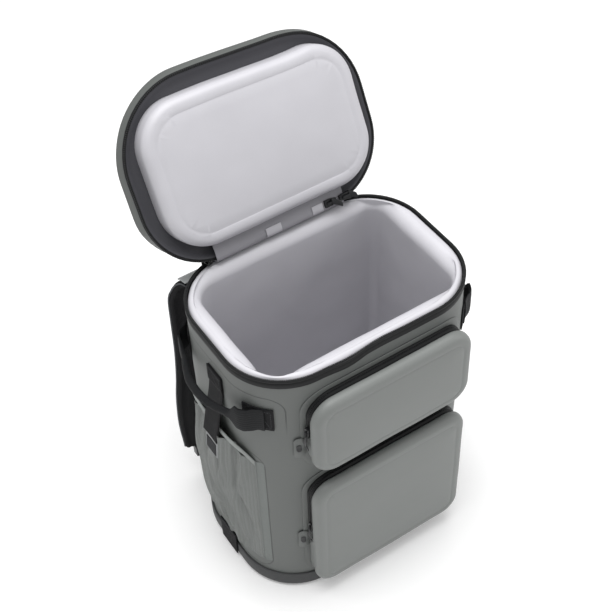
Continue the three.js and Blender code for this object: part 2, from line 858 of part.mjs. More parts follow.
// A loft whose rings are strips: its end caps are split into quads across the strip.
function stripLoft(rings) {
  const size = rings[0].length;
  const points = rings.flat();
  const faces = [];
  for (let k = 0; k < rings.length - 1; k += 1) {
    for (let i = 0; i < size; i += 1) {
      const j = (i + 1) % size;
      const low = k * size;
      const high = low + size;
      faces.push([low + i, low + j, high + j]);
      faces.push([low + i, high + j, high + i]);
    }
  }
  const end = (rings.length - 1) * size;
  for (let i = 0; i < size / 2 - 1; i += 1) {
    const across = size - 1 - i;
    faces.push([i, across, across - 1]);
    faces.push([i, across - 1, i + 1]);
    faces.push([end + i, end + across - 1, end + across]);
    faces.push([end + i, end + i + 1, end + across - 1]);
  }
  return solid(points, faces);
}

// A padded panel on the back wall.
function addBackPad(parent) {
  const low = bootHeight + backPadLift;
  const high = bodyHeight - backPadDrop;
  const halfX = halfWidth - backPadMargin;
  const halfZ = (high - low) / 2;
  const midZ = (high + low) / 2;
  const start = halfDepth + clearance;
  const ring = (inset, y) => (
    roundedRect(halfX - inset, halfZ - inset, backPadCorner - inset, cornerSteps, 0, midZ)
      .map(([x, z]) => new THREE.Vector3(x, y, z))
  );
  const rings = [ring(0, start)];
  for (const [s, c] of quarter()) {
    const y = start + backPadThickness - backPadRound * (1 - s);
    rings.push(ring(backPadRound * c, y));
  }
  piece(parent, "back_pad", loft(rings), "strap");
}

// A point on a strap's centre line: the arch at its top rises above archZ, and the rest
// runs down to the strap's end by shares.
const archZ = bodyHeight - strapArchDrop;
const strapEndZ = bootHeight + strapEndLift;
function strapPoint(side, { inn, out, rise, down }) {
  const z = archZ + rise + (strapEndZ - archZ) * down;
  return new THREE.Vector3(side * (halfWidth - inn), strapSeat + out, z);
}

// The strap's rows, with their width turned about the strap's own run.
function strapRows(side) {
  const centres = strapTable.map((row) => strapPoint(side, row));
  return strapTable.map(({ turn }, i) => {
    const before = centres[Math.max(i - 1, 0)];
    const after = centres[Math.min(i + 1, centres.length - 1)];
    const along = after.clone().sub(before).normalize();
    const a = turn * deg;
    const level = new THREE.Vector3(side * Math.cos(a), Math.sin(a), 0);
    const across = level.addScaledVector(along, -level.dot(along)).normalize();
    const through = along.clone().cross(across).normalize();
    return { centre: centres[i], across, through, wide: strapWidth, thick: strapThickness };
  });
}

function addStrap(parent, side) {
  const tag = side < 0 ? "left" : "right";
  piece(parent, `shoulder_strap_${tag}`, strapSolid(strapRows(side), 4.5), "strap");
  const end = strapPoint(1, strapTable[strapTable.length - 1]);
  const anchorX = halfWidth - bodyCorner - anchorIn;
  const anchorZ = bootHeight + anchorLift + anchorHeight / 2;
  const faceY = halfDepth + 2 * clearance + anchorThickness + webbing / 2;
  const startY = end.y - 1.5;
  const startZ = end.z - strapWebGap;
  const centres = strapWebTable.map(({ across, down }) => new THREE.Vector3(
    side * (end.x + (anchorX - end.x) * across),
    faceY + (startY - faceY) * (1 - down) ** strapWebCurve,
    startZ + (anchorZ - startZ) * down,
  ));
  const rows = centres.map((centre, i) => {
    const before = centres[Math.max(i - 1, 0)];
    const after = centres[i < 2 ? 1 : Math.min(i + 1, centres.length - 1)];
    const along = after.clone().sub(before).normalize();
    const across = new THREE.Vector3(0, side, 0).cross(along).normalize();
    const through = along.clone().cross(across).normalize();
    return { centre, across, through, wide: strapWebWidth, thick: webbing };
  });
  piece(parent, `strap_webbing_${tag}`, strapSolid(rows), "webbing");

  const hold = rows[0];
  const turn = new THREE.Matrix4().makeBasis(
    hold.across, hold.through, hold.across.clone().cross(hold.through),
  );
  const middle = centres[0].clone().lerp(centres[1], 0.5);
  const buckle = block(buckleWidth / 2, buckleThickness / 2, buckleHeight / 2, 2);
  const clip = piece(parent, `strap_buckle_${tag}`, buckle, "plastic");
  const away = Math.sign(hold.through.y) * (webbing + buckleThickness + 2 * clearance) / 2;
  clip.setRotationFromMatrix(turn);
  clip.position.copy(middle).addScaledVector(hold.through, away);

  const anchor = block(anchorWidth / 2, anchorThickness / 2, anchorHeight / 2, 1);
  const foot = piece(parent, `strap_anchor_${tag}`, anchor, "webbing");
  foot.position.set(side * anchorX, halfDepth + clearance + anchorThickness / 2, anchorZ);
}

// The yoke is a flap of light cloth over the roots of both straps.
function addYoke(parent) {
  const path = yokeTable.map(({ out, drop }) => (
    new THREE.Vector3(0, halfDepth + clearance + out, bodyHeight - drop)
  ));
  const across = new THREE.Vector3(1, 0, 0);
  const rows = path.map((centre, i) => {
    const before = path[Math.max(i - 1, 0)];
    const after = path[Math.min(i + 1, path.length - 1)];
    const through = across.clone().cross(after.clone().sub(before)).normalize();
    return { centre, across, through, wide: 2 * (halfWidth - yokeMargin), thick: yokeCloth };
  });
  piece(parent, "strap_yoke", strapSolid(rows), "yoke");
}

const part = new THREE.Group();
part.name = "cooler_backpack";
addBoot(part);
addBody(part);
addLiner(part);
addBodyZip(part);
addHinge(part);
addLid(part);
for (const row of pocketTable) {
  addPocket(part, row);
  addGarage(part, row);
}
for (const side of [-1, 1]) {
  addSide(part, side);
  addStrap(part, side);
}
addBackPad(part);
addYoke(part);

export default part;
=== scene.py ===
"""Looks of a cooler backpack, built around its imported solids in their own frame."""

import json
import logging
import math
from dataclasses import dataclass
from enum import Enum
from typing import Callable, Optional, Sequence

import bpy
from mathutils import Matrix, Vector

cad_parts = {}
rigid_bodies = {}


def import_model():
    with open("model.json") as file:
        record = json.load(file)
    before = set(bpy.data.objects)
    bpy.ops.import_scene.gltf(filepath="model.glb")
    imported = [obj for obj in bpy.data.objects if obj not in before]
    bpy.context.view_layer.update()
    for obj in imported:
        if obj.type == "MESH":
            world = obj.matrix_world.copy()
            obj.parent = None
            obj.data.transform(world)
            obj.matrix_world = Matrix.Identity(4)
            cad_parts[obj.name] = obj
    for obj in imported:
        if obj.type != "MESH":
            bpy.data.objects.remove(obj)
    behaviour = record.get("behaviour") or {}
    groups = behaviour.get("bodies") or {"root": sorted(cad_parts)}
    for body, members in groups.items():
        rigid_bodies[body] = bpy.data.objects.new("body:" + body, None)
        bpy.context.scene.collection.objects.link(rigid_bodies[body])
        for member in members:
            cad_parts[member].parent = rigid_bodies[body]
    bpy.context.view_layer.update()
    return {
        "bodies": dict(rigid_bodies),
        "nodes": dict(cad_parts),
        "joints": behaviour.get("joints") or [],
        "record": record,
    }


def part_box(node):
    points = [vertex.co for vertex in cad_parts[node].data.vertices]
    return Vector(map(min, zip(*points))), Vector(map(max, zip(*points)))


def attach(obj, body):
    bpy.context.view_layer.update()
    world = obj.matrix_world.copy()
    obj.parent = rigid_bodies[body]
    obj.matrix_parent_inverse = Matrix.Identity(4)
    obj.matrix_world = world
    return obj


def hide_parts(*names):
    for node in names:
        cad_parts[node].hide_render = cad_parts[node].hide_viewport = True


MM = 0.001
LOG = logging.getLogger("cooler_backpack")

Move = Callable[[Vector], Vector]
Test = Callable[[Vector, Vector], bool]
Rows = Sequence[Sequence[Vector]]


class Pick(Enum):
    """Which parts of a mesh a test looks at."""

    VERT = 0
    EDGE = 1
    FACE = 2


class Side(Enum):
    """The two sides of the pack, seen from the front."""

    LEFT = -1
    RIGHT = 1

    @property
    def tag(self) -> str:
        """The word that ends this side's names."""
        return self.name.lower()


class Slot(Enum):
    """The record's material slots."""

    SHELL = "shell"
    LINER = "liner"
    ZIP = "zip"
    TRIM = "trim"
    WEBBING = "webbing"
    MESH = "mesh"
    PLASTIC = "plastic"
    LABEL = "label"
    STRAP = "strap"
    YOKE = "yoke"


# Modelling tools, with every length in millimetres
class Bench:
    """Primitives, picks and edit operators, with every length in millimetres."""

    @staticmethod
    def focus(obj: Optional[bpy.types.Object]) -> None:
        """Deselects everything and makes one object the selected and active one.

        Args:
            obj: the object to work on, or None to leave nothing selected.
        """
        if bpy.context.mode != "OBJECT":
            bpy.ops.object.mode_set(mode="OBJECT")
        bpy.ops.object.select_all(action="DESELECT")
        if obj is not None:
            obj.select_set(True)
            bpy.context.view_layer.objects.active = obj

    @staticmethod
    def cube(name: str, low: Sequence[float], high: Sequence[float]) -> bpy.types.Object:
        """Adds a cube between two corners.

        Args:
            name: the object's name.
            low: its lowest corner.
            high: its highest corner.

        Returns:
            The new object, its place and size in its mesh.
        """
        Bench.focus(None)
        middle = [(a + b) / 2 * MM for a, b in zip(low, high)]
        bpy.ops.mesh.primitive_cube_add(size=1, location=middle)
        obj = bpy.context.active_object
        obj.scale = [(b - a) * MM for a, b in zip(low, high)]
        return Bench.settle(obj, name)

    @staticmethod
    def settle(obj: bpy.types.Object, name: str) -> bpy.types.Object:
        """Names an object and applies its place, turn and scale to its mesh.

        Args:
            obj: the object.
            name: its new name.

        Returns:
            The same object.
        """
        obj.name = name
        obj.data.name = name
        Bench.focus(obj)
        bpy.ops.object.transform_apply(location=True, rotation=True, scale=True)
        return obj

    @staticmethod
    def pick(obj: bpy.types.Object, kind: Pick, test: Test) -> int:
        """Selects the parts of a mesh that pass a test and opens edit mode.

        Args:
            obj: the object.
            kind: vertices, edges or faces.
            test: takes a part's middle and its normal, or an edge's direction.

        Returns:
            How many parts are selected.
        """
        Bench.focus(obj)
        mesh = obj.data
        for items in (mesh.vertices, mesh.edges, mesh.polygons):
            items.foreach_set("select", [False] * len(items))
        bpy.context.tool_settings.mesh_select_mode = [kind.value == i for i in range(3)]
        count = 0
        if kind is Pick.FACE:
            for item in mesh.polygons:
                item.select = test(item.center / MM, item.normal)
                count += item.select
        elif kind is Pick.VERT:
            for item in mesh.vertices:
                item.select = test(item.co / MM, item.normal)
                count += item.select
        else:
            for item in mesh.edges:
                a, b = (mesh.vertices[i].co for i in item.vertices)
                item.select = test((a + b) / 2 / MM, (b - a).normalized())
                count += item.select
        bpy.ops.object.mode_set(mode="EDIT")
        return count

    @staticmethod
    def done() -> None:
        """Closes edit mode."""
        bpy.ops.object.mode_set(mode="OBJECT")

    @staticmethod
    def bevel(
        obj: bpy.types.Object, test: Test, width: float, steps: int, profile: float = 0.5
    ) -> None:
        """Rounds the edges that pass a test.

        Args:
            obj: the object.
            test: takes an edge's middle and direction.
            width: radius of the round.
            steps: how finely it is cut.
            profile: its shape, 0.5 for a plain round.
        """
        Bench.pick(obj, Pick.EDGE, test)
        bpy.ops.mesh.bevel(
            offset=width * MM,
            offset_type="OFFSET",
            segments=steps,
            profile=profile,
            affect="EDGES",
            clamp_overlap=False,
        )
        Bench.done()

    @staticmethod
    def inset(obj: bpy.types.Object, test: Test, inward: float, depth: float = 0.0) -> None:
        """Insets the faces that pass a test.

        Args:
            obj: the object.
            test: takes a face's middle and normal.
            inward: how far the new edge lies inside the old one.
            depth: how far the faces move along their normals.
        """
        Bench.pick(obj, Pick.FACE, test)
        bpy.ops.mesh.inset(thickness=inward * MM, depth=depth * MM, use_even_offset=True)
        Bench.done()

    @staticmethod
    def extrude(obj: bpy.types.Object, test: Test, move: Sequence[float]) -> None:
        """Extrudes the faces that pass a test.

        Args:
            obj: the object.
            test: takes a face's middle and normal.
            move: how far they are pulled.
        """
        Bench.pick(obj, Pick.FACE, test)
        bpy.ops.mesh.extrude_region_move(
            TRANSFORM_OT_translate={"value": [v * MM for v in move]}
        )
        Bench.done()

    @staticmethod
    def drop(obj: bpy.types.Object, test: Test) -> None:
        """Deletes the faces that pass a test."""
        Bench.pick(obj, Pick.FACE, test)
        bpy.ops.mesh.delete(type="FACE")
        Bench.done()

    @staticmethod
    def slice(obj: bpy.types.Object, axis: int, places: Sequence[float]) -> None:
        """Cuts a mesh across an axis so that it can bend there.

        Args:
            obj: the object.
            axis: 0, 1 or 2 for x, y or z.
            places: where along the axis it is cut.
        """
        normal = [1.0 if i == axis else 0.0 for i in range(3)]
        for place in places:
            Bench.pick(obj, Pick.FACE, lambda middle, way: True)
            bpy.ops.mesh.bisect(plane_co=[n * place * MM for n in normal], plane_no=normal)
            Bench.done()

    @staticmethod
    def clean(obj: bpy.types.Object, fill: bool = False) -> None:
        """Merges doubles, closes open ends if asked, and turns all faces outwards.

        Args:
            obj: the object.
            fill: whether the open ends are closed.
        """
        Bench.pick(obj, Pick.VERT, lambda middle, way: True)
        bpy.ops.mesh.remove_doubles(threshold=0.00002)
        if fill:
            bpy.ops.mesh.select_all(action="SELECT")
            bpy.ops.mesh.fill_holes(sides=0)
        bpy.ops.mesh.select_all(action="SELECT")
        bpy.ops.mesh.normals_make_consistent(inside=False)
        Bench.done()

    @staticmethod
    def bend(obj: bpy.types.Object, move: Move) -> None:
        """Moves every vertex by a rule, as with a soft sculpting brush.

        Args:
            obj: the object.
            move: takes a place and returns the new one.
        """
        for vertex in obj.data.vertices:
            vertex.co = move(vertex.co / MM) * MM
        obj.data.update()

    @staticmethod
    def apply(obj: bpy.types.Object, kind: str, **settings: object) -> None:
        """Adds a modifier, sets it and applies it.

        Args:
            obj: the object.
            kind: the modifier's type.
            **settings: its settings, lengths in metres.
        """
        Bench.focus(obj)
        modifier = obj.modifiers.new(kind.lower(), kind)
        for key, value in settings.items():
            setattr(modifier, key, value)
        bpy.ops.object.modifier_apply(modifier=modifier.name)

    @staticmethod
    def refine(obj: bpy.types.Object) -> None:
        """Cuts every face in four without moving its points."""
        Bench.apply(
            obj, "SUBSURF", levels=1, render_levels=1, subdivision_type="SIMPLE"
        )

    @staticmethod
    def ripple(obj: bpy.types.Object, size: float, depth: float, seed: float = 0.0) -> None:
        """Gives a surface the faint unevenness of cloth over foam.

        Args:
            obj: the object.
            size: how wide the unevenness is.
            depth: how deep it is in all.
            seed: a shift of the pattern, so that pieces differ.
        """
        cloud = bpy.data.textures.new(obj.name, "CLOUDS")
        cloud.noise_scale = size * MM
        cloud.noise_depth = 1
        Bench.bend(obj, lambda p: p + Vector((seed, 0, 0)))
        Bench.apply(obj, "DISPLACE", texture=cloud, strength=depth * MM, mid_level=0.5)
        Bench.bend(obj, lambda p: p - Vector((seed, 0, 0)))
        bpy.data.textures.remove(cloud)

    @staticmethod
    def smooth(obj: bpy.types.Object, angle: float = 38.0) -> bpy.types.Object:
        """Shades an object smooth, with creases kept above an angle."""
        Bench.focus(obj)
        bpy.ops.object.shade_smooth_by_angle(angle=math.radians(angle))
        return obj

    @staticmethod
    def skin(
        name: str, rows: Rows, ring: bool = False, loop: bool = False, fill: bool = False
    ) -> bpy.types.Object:
        """Stretches a grid primitive over rows of points, with a map in millimetres.

        Args:
            name: the object's name.
            rows: the points, row after row.
            ring: whether each row closes on itself.
            loop: whether the last row meets the first.
            fill: whether open ends are closed.

        Returns:
            The new object.
        """
        lines = [list(row) + ([row[0]] if ring else []) for row in rows]
        if loop:
            lines.append(lines[0])
        nu, nv = len(lines), len(lines[0])
        Bench.focus(None)
        bpy.ops.mesh.primitive_grid_add(
            x_subdivisions=nu - 1, y_subdivisions=nv - 1, size=2, calc_uvs=True
        )
        obj = Bench.settle(bpy.context.active_object, name)
        along = [0.0]
        for i in range(1, nu):
            along.append(along[-1] + (lines[i][nv // 2] - lines[i - 1][nv // 2]).length)
        across = [0.0]
        for j in range(1, nv):
            across.append(across[-1] + (lines[nu // 2][j] - lines[nu // 2][j - 1]).length)
        mesh = obj.data
        spots = [
            (round((v.co.x + 1) / 2 * (nu - 1)), round((v.co.y + 1) / 2 * (nv - 1)))
            for v in mesh.vertices
        ]
        for vertex, (i, j) in zip(mesh.vertices, spots):
            vertex.co = lines[i][j] * MM
        layer = mesh.uv_layers.active.data
        for item in mesh.loops:
            i, j = spots[item.vertex_index]
            layer[item.index].uv = (along[i] * MM, across[j] * MM)
        Bench.clean(obj, fill)
        return obj

    @staticmethod
    def plate(
        name: str, low: Sequence[float], high: Sequence[float], corner: float, pitch: float
    ) -> bpy.types.Object:
        """Adds a flat sheet in x and z with round corners, cut so that it can bend.

        Args:
            name: the object's name.
            low: lowest x and z.
            high: highest x and z.
            corner: radius of its corners.
            pitch: how far apart the cuts are.

        Returns:
            The new object, with a map in millimetres from its flat place.
        """
        Bench.focus(None)
        middle = ((low[0] + high[0]) / 2 * MM, 0, (low[1] + high[1]) / 2 * MM)
        bpy.ops.mesh.primitive_plane_add(
            size=1, location=middle, rotation=(math.pi / 2, 0, 0)
        )
        obj = bpy.context.active_object
        obj.scale = ((high[0] - low[0]) * MM, (high[1] - low[1]) * MM, 1)
        Bench.settle(obj, name)
        if corner > 0:
            Bench.pick(obj, Pick.VERT, lambda place, way: True)
            bpy.ops.mesh.bevel(
                offset=corner * MM, segments=7, affect="VERTICES", clamp_overlap=False
            )
            Bench.done()
        for axis, (start, end) in ((0, (low[0], high[0])), (2, (low[1], high[1]))):
            count = max(int((end - start) / pitch), 1)
            Bench.slice(obj, axis, [start + (end - start) * k / count for k in range(1, count)])
        Bench.chart(obj, lambda p, middle: (p.x, p.z))
        return obj

    @staticmethod
    def chart(
        obj: bpy.types.Object, place: Callable[[Vector, Vector], tuple[float, float]]
    ) -> None:
        """Gives a mesh a map from its places.

        Args:
            obj: the object.
            place: takes a corner's place and its face's middle, and returns the map's
                two numbers in millimetres.
        """
        mesh = obj.data
        layer = (mesh.uv_layers.active or mesh.uv_layers.new(name="UVMap")).data
        for face in mesh.polygons:
            middle = face.center / MM
            for index in face.loop_indices:
                corner = mesh.vertices[mesh.loops[index].vertex_index].co / MM
                u, v = place(corner, middle)
                layer[index].uv = (u * MM, v * MM)

    @staticmethod
    def thicken(obj: bpy.types.Object, thick: float, round_off: float = 0.0) -> None:
        """Gives a sheet a wall on the side its faces look to, with softened edges."""
        Bench.apply(obj, "SOLIDIFY", thickness=thick * MM, offset=1.0, use_even_offset=True)
        if round_off > 0:
            Bench.apply(
                obj, "BEVEL", width=round_off * MM, segments=2, limit_method="ANGLE",
                angle_limit=math.radians(50), use_clamp_overlap=True,
            )

    @staticmethod
    def patch(
        name: str, low: Sequence[float], high: Sequence[float], corner: float, pitch: float,
        move: Move, thick: float, round_off: float,
    ) -> bpy.types.Object:
        """Cuts a flat patch as plate does, bends it into place and gives it a wall."""
        obj = Bench.plate(name, low, high, corner, pitch)
        Bench.bend(obj, move)
        Bench.clean(obj)
        Bench.thicken(obj, thick, round_off)
        return obj

    @staticmethod
    def hoop(middle: Vector, a: Vector, b: Vector, count: int) -> list[Vector]:
        """Points round an ellipse with two half axes."""
        turns = [2 * math.pi * j / count for j in range(count)]
        return [middle + a * math.cos(t) + b * math.sin(t) for t in turns]

    @staticmethod
    def copy(obj: bpy.types.Object, name: str, move: Move) -> bpy.types.Object:
        """Copies an object with its own mesh and moves the copy's vertices.

        Args:
            obj: the object to copy.
            name: the copy's name.
            move: takes a place and returns the new one.

        Returns:
            The copy.
        """
        Bench.focus(obj)
        bpy.ops.object.duplicate(linked=False)
        twin = bpy.context.active_object
        twin.name = name
        twin.data.name = name
        Bench.bend(twin, move)
        return twin

    @staticmethod
    def join(name: str, parts: Sequence[bpy.types.Object]) -> bpy.types.Object:
        """Joins objects into one and names it."""
        Bench.focus(parts[0])
        for part in parts:
            part.select_set(True)
        if len(parts) > 1:
            bpy.ops.object.join()
        return Bench.settle(parts[0], name)


def mirror_x(p: Vector) -> Vector:
    """The same place on the other side."""
    return Vector((-p.x, p.y, p.z))


# Shader tools
class Wire:
    """A shader socket that can be used in plain sums."""

    def __init__(self, recipe: "Recipe", socket: bpy.types.NodeSocket) -> None:
        """Keeps the socket and the recipe it belongs to."""
        self.recipe = recipe
        self.socket = socket

    def sum(self, operation: str, *values: object) -> "Wire":
        """Adds a Math node.

        Args:
            operation: what it does.
            *values: its inputs, wires or numbers.

        Returns:
            The result.
        """
        node = self.recipe.node(
            "ShaderNodeMath", {"operation": operation}, dict(enumerate(values))
        )
        return Wire(self.recipe, node.outputs[0])

    def __add__(self, other: object) -> "Wire":
        """Sum."""
        return self.sum("ADD", self, other)

    __radd__ = __add__

    def __sub__(self, other: object) -> "Wire":
        """Difference."""
        return self.sum("SUBTRACT", self, other)

    def __rsub__(self, other: object) -> "Wire":
        """Difference from a number."""
        return self.sum("SUBTRACT", other, self)

    def __mul__(self, other: object) -> "Wire":
        """Product."""
        return self.sum("MULTIPLY", self, other)

    __rmul__ = __mul__

    def __truediv__(self, other: object) -> "Wire":
        """Quotient."""
        return self.sum("DIVIDE", self, other)

    def __pow__(self, other: object) -> "Wire":
        """Power."""
        return self.sum("POWER", self, other)

    def __abs__(self) -> "Wire":
        """Size without sign."""
        return self.sum("ABSOLUTE", self)

    def top(self, other: object) -> "Wire":
        """The larger of two."""
        return self.sum("MAXIMUM", self, other)

    def low(self, other: object) -> "Wire":
        """The smaller of two."""
        return self.sum("MINIMUM", self, other)

    def sine(self) -> "Wire":
        """Sine of an angle in radians."""
        return self.sum("SINE", self)

    def fract(self) -> "Wire":
        """What is left of the whole number."""
        return self.sum("FRACT", self)

    def ramp(self, start: float, end: float) -> "Wire":
        """Smooth step from 0 at start to 1 at end."""
        node = self.recipe.node(
            "ShaderNodeMapRange",
            {"interpolation_type": "SMOOTHSTEP"},
            {"Value": self, "From Min": start, "From Max": end},
        )
        return Wire(self.recipe, node.outputs[0])


class Recipe:
    """Builds one procedural material."""

    def __init__(self, name: str) -> None:
        """Starts a material with only its output and its surface shader."""
        self.material = bpy.data.materials.new(name)
        self.material.use_nodes = True
        self.tree = self.material.node_tree
        self.tree.nodes.clear()
        output = self.tree.nodes.new("ShaderNodeOutputMaterial")
        self.skin = self.tree.nodes.new("ShaderNodeBsdfPrincipled")
        self.tree.links.new(self.skin.outputs[0], output.inputs["Surface"])

    def node(
        self, kind: str, settings: dict[str, object], values: dict[object, object]
    ) -> bpy.types.Node:
        """Adds a node.

        Args:
            kind: its type.
            settings: its properties.
            values: what goes into its inputs, wires, sockets or plain values.

        Returns:
            The node.
        """
        node = self.tree.nodes.new(kind)
        for key, value in settings.items():
            setattr(node, key, value)
        for key, value in values.items():
            self.put(node.inputs[key], value)
        return node

    def put(self, socket: bpy.types.NodeSocket, value: object) -> None:
        """Sets a socket or links a wire to it."""
        if isinstance(value, Wire):
            value = value.socket
        if isinstance(value, bpy.types.NodeSocket):
            self.tree.links.new(value, socket)
        elif isinstance(value, tuple) and len(value) == 3 and socket.type == "RGBA":
            socket.default_value = (*value, 1.0)
        else:
            socket.default_value = value

    def place(self, on_map: bool = False) -> bpy.types.NodeSocket:
        """Object coordinates, or the piece's own map, in millimetres."""
        spot = self.node("ShaderNodeTexCoord", {}, {})
        out = spot.outputs["UV" if on_map else "Object"]
        scaled = self.node("ShaderNodeVectorMath", {"operation": "SCALE"}, {0: out})
        scaled.inputs["Scale"].default_value = 1 / MM
        return scaled.outputs[0]

    def split(self, vector: bpy.types.NodeSocket) -> tuple[Wire, Wire, Wire]:
        """The three numbers of a vector."""
        node = self.node("ShaderNodeSeparateXYZ", {}, {0: vector})
        return tuple(Wire(self, node.outputs[i]) for i in range(3))

    def noise(
        self, vector: bpy.types.NodeSocket, size: float, detail: float = 2.0
    ) -> Wire:
        """Soft noise about 0.5 whose bumps are about size millimetres wide."""
        node = self.node(
            "ShaderNodeTexNoise", {}, {"Vector": vector, "Scale": 1 / size, "Detail": detail}
        )
        return Wire(self, node.outputs[0])

    def cells(self, vector: bpy.types.NodeSocket, size: float) -> Wire:
        """Distance to the nearest of scattered points, size millimetres apart."""
        node = self.node("ShaderNodeTexVoronoi", {}, {"Vector": vector, "Scale": 1 / size})
        return Wire(self, node.outputs["Distance"])

    def blend(self, start: object, end: object, share: object) -> bpy.types.NodeSocket:
        """Mixes two colours."""
        node = self.node("ShaderNodeMix", {"data_type": "RGBA"}, {0: share, 6: start, 7: end})
        return node.outputs[2]

    def round_box(
        self, x: Wire, z: Wire, middle: tuple[float, float], half: tuple[float, float],
        corner: float,
    ) -> Wire:
        """Distance to the outline of a rounded rectangle, negative inside it.

        Args:
            x: first coordinate.
            z: second coordinate.
            middle: the rectangle's middle.
            half: its half sizes.
            corner: radius of its corners.

        Returns:
            The distance in the coordinates' own unit.
        """
        dx = abs(x - middle[0]) - (half[0] - corner)
        dz = abs(z - middle[1]) - (half[1] - corner)
        beyond = (dx.top(0.0) ** 2.0 + dz.top(0.0) ** 2.0) ** 0.5
        return beyond + dx.top(dz).low(0.0) - corner

    def finish(
        self, colour: object, roughness: object, height: Optional[Wire], **plain: object
    ) -> bpy.types.Material:
        """Connects the surface shader.

        Args:
            colour: base colour.
            roughness: roughness.
            height: relief in millimetres, or None.
            **plain: other sockets by name, underscores for blanks.

        Returns:
            The material.
        """
        self.put(self.skin.inputs["Base Color"], colour)
        self.put(self.skin.inputs["Roughness"], roughness)
        if height is not None:
            bump = self.node(
                "ShaderNodeBump", {}, {"Strength": 1.0, "Distance": MM, "Height": height}
            )
            self.put(self.skin.inputs["Normal"], bump.outputs[0])
        for key, value in plain.items():
            self.put(self.skin.inputs[key.replace("_", " ")], value)
        return self.material


Colour = tuple[float, float, float]


def tone(code: str) -> Colour:
    """The linear colour of a six-digit screen colour."""
    parts = [int(code[i : i + 2], 16) / 255 for i in (0, 2, 4)]
    return tuple(c / 12.92 if c <= 0.04045 else ((c + 0.055) / 1.055) ** 2.4 for c in parts)


@dataclass(frozen=True)
class Finish:
    """A finish with a name, a colour and a roughness."""

    name: str
    colour: Colour
    roughness: float = 0.6
    slot: Slot = Slot.SHELL

    def material(self) -> bpy.types.Material:
        """The finish's material, made once."""
        return bpy.data.materials.get(self.name) or self.make()

    def make(self) -> bpy.types.Material:
        """Builds the material. Each kind of finish has its own way."""
        raise NotImplementedError

    def shade(self, recipe: Recipe, share: Wire, spread: float = 0.06) -> bpy.types.NodeSocket:
        """The colour, a little darker and lighter by a share from 0 to 1."""
        dark = tuple(c * (1 - spread) for c in self.colour)
        light = tuple(min(c * (1 + spread), 1.0) for c in self.colour)
        return recipe.blend(dark, light, share)


@dataclass(frozen=True)
class CoatedCloth(Finish):
    """Cloth under a matt plastic coat: fine grain, faint hand marks, no open weave."""

    grain: float = 0.02
    soft: float = 0.25

    def make(self) -> bpy.types.Material:
        """Builds the material."""
        recipe = Recipe(self.name)
        spot = recipe.place()
        fine = recipe.noise(spot, 0.7, 3.0)
        cloudy = recipe.noise(spot, 45.0, 2.0)
        height = self.grain * fine + self.soft * cloudy + self.relief(recipe)
        rough = self.roughness + 0.12 * (fine - 0.5) + 0.08 * (cloudy - 0.5)
        colour = self.shade(recipe, cloudy * 0.7 + fine * 0.3)
        # painted shade, where a finish paints any, is laid into the colour here
        return recipe.finish(self.paint_shade(recipe, colour), rough, height)

    def relief(self, recipe: Recipe) -> object:
        """Extra relief of this finish, in millimetres."""
        return 0.0

    def paint_shade(self, recipe: Recipe, colour: bpy.types.NodeSocket) -> bpy.types.NodeSocket:
        """Lets a finish darken its colour in places with painted shade."""
        return colour


@dataclass(frozen=True)
class ShellCloth(CoatedCloth):
    """The body's cloth, with its welded seams round the side panels, pressed in and darkened
    with painted shade.
    """

    panel_top: float = 403.0
    panel_half: float = 116.0
    panel_end: float = 330.0
    net_top: float = 288.0
    net_half: float = 85.0
    net_foot: float = 34.0

    def seams(self, recipe: Recipe) -> Wire:
        """1 on the seams and 0 away from them."""
        along, height, _ = recipe.split(recipe.place(on_map=True))
        panel = recipe.round_box(
            along, height, (0.0, self.panel_top - 300), (self.panel_half, 300.0), 24.0
        )
        middle = (self.net_top + self.net_foot) / 2
        net = recipe.round_box(
            along, height, (0.0, middle), (self.net_half, self.net_top - middle), 24.0
        )
        first = (1.0 - abs(panel).ramp(0.35, 0.95)) * height.ramp(self.panel_end, 372.0)
        second = 1.0 - abs(net).ramp(0.35, 0.95)
        return first.top(second)

    def relief(self, recipe: Recipe) -> object:
        """The seams are pressed in."""
        return -0.5 * self.seams(recipe)

    def paint_shade(self, recipe: Recipe, colour: bpy.types.NodeSocket) -> bpy.types.NodeSocket:
        """The seams are darkened with painted shade, standing in for the shadow line along each
        welded edge.
        """
        # painted shade: the seam lines are darkened for the shadow line at each welded edge
        dark = tuple(c * 0.45 for c in self.colour)
        return recipe.blend(colour, dark, self.seams(recipe) * 0.75)


@dataclass(frozen=True)
class ZipTape(Finish):
    """Coated zip tape with fine ribs across it, on the piece's own map."""

    def make(self) -> bpy.types.Material:
        """Builds the material."""
        recipe = Recipe(self.name)
        along = recipe.split(recipe.place(on_map=True))[0]
        fine = recipe.noise(recipe.place(), 0.9, 3.0)
        ribs = (along * (2 * math.pi / 1.3)).sine() * 0.5 + 0.5
        height = 0.05 * ribs + 0.05 * fine
        return recipe.finish(
            self.shade(recipe, ribs * 0.5 + fine * 0.5, 0.2),
            self.roughness + 0.15 * (fine - 0.5),
            height,
            Specular_IOR_Level=0.3,
        )


@dataclass(frozen=True)
class WovenWebbing(Finish):
    """Flat woven webbing: ribs along it and a herringbone between, on its own map."""

    rib: float = 2.4

    def make(self) -> bpy.types.Material:
        """Builds the material."""
        recipe = Recipe(self.name)
        along, across, _ = recipe.split(recipe.place(on_map=True))
        turn = 2 * math.pi
        side = abs((across / (2 * self.rib)).fract() - 0.5) * 4.0
        twill = ((along / 1.5 + side * 0.5) * turn).sine() * 0.5 + 0.5
        ribs = abs(((across / self.rib) * math.pi).sine())
        fuzz = recipe.noise(recipe.place(), 0.8, 4.0)
        height = 0.16 * ribs + 0.14 * twill * ribs + 0.08 * fuzz
        share = twill * 0.5 + ribs * 0.25 + fuzz * 0.25
        return recipe.finish(
            self.shade(recipe, share, 0.45),
            self.roughness + 0.1 * (fuzz - 0.5),
            height,
            Specular_IOR_Level=0.25,
        )


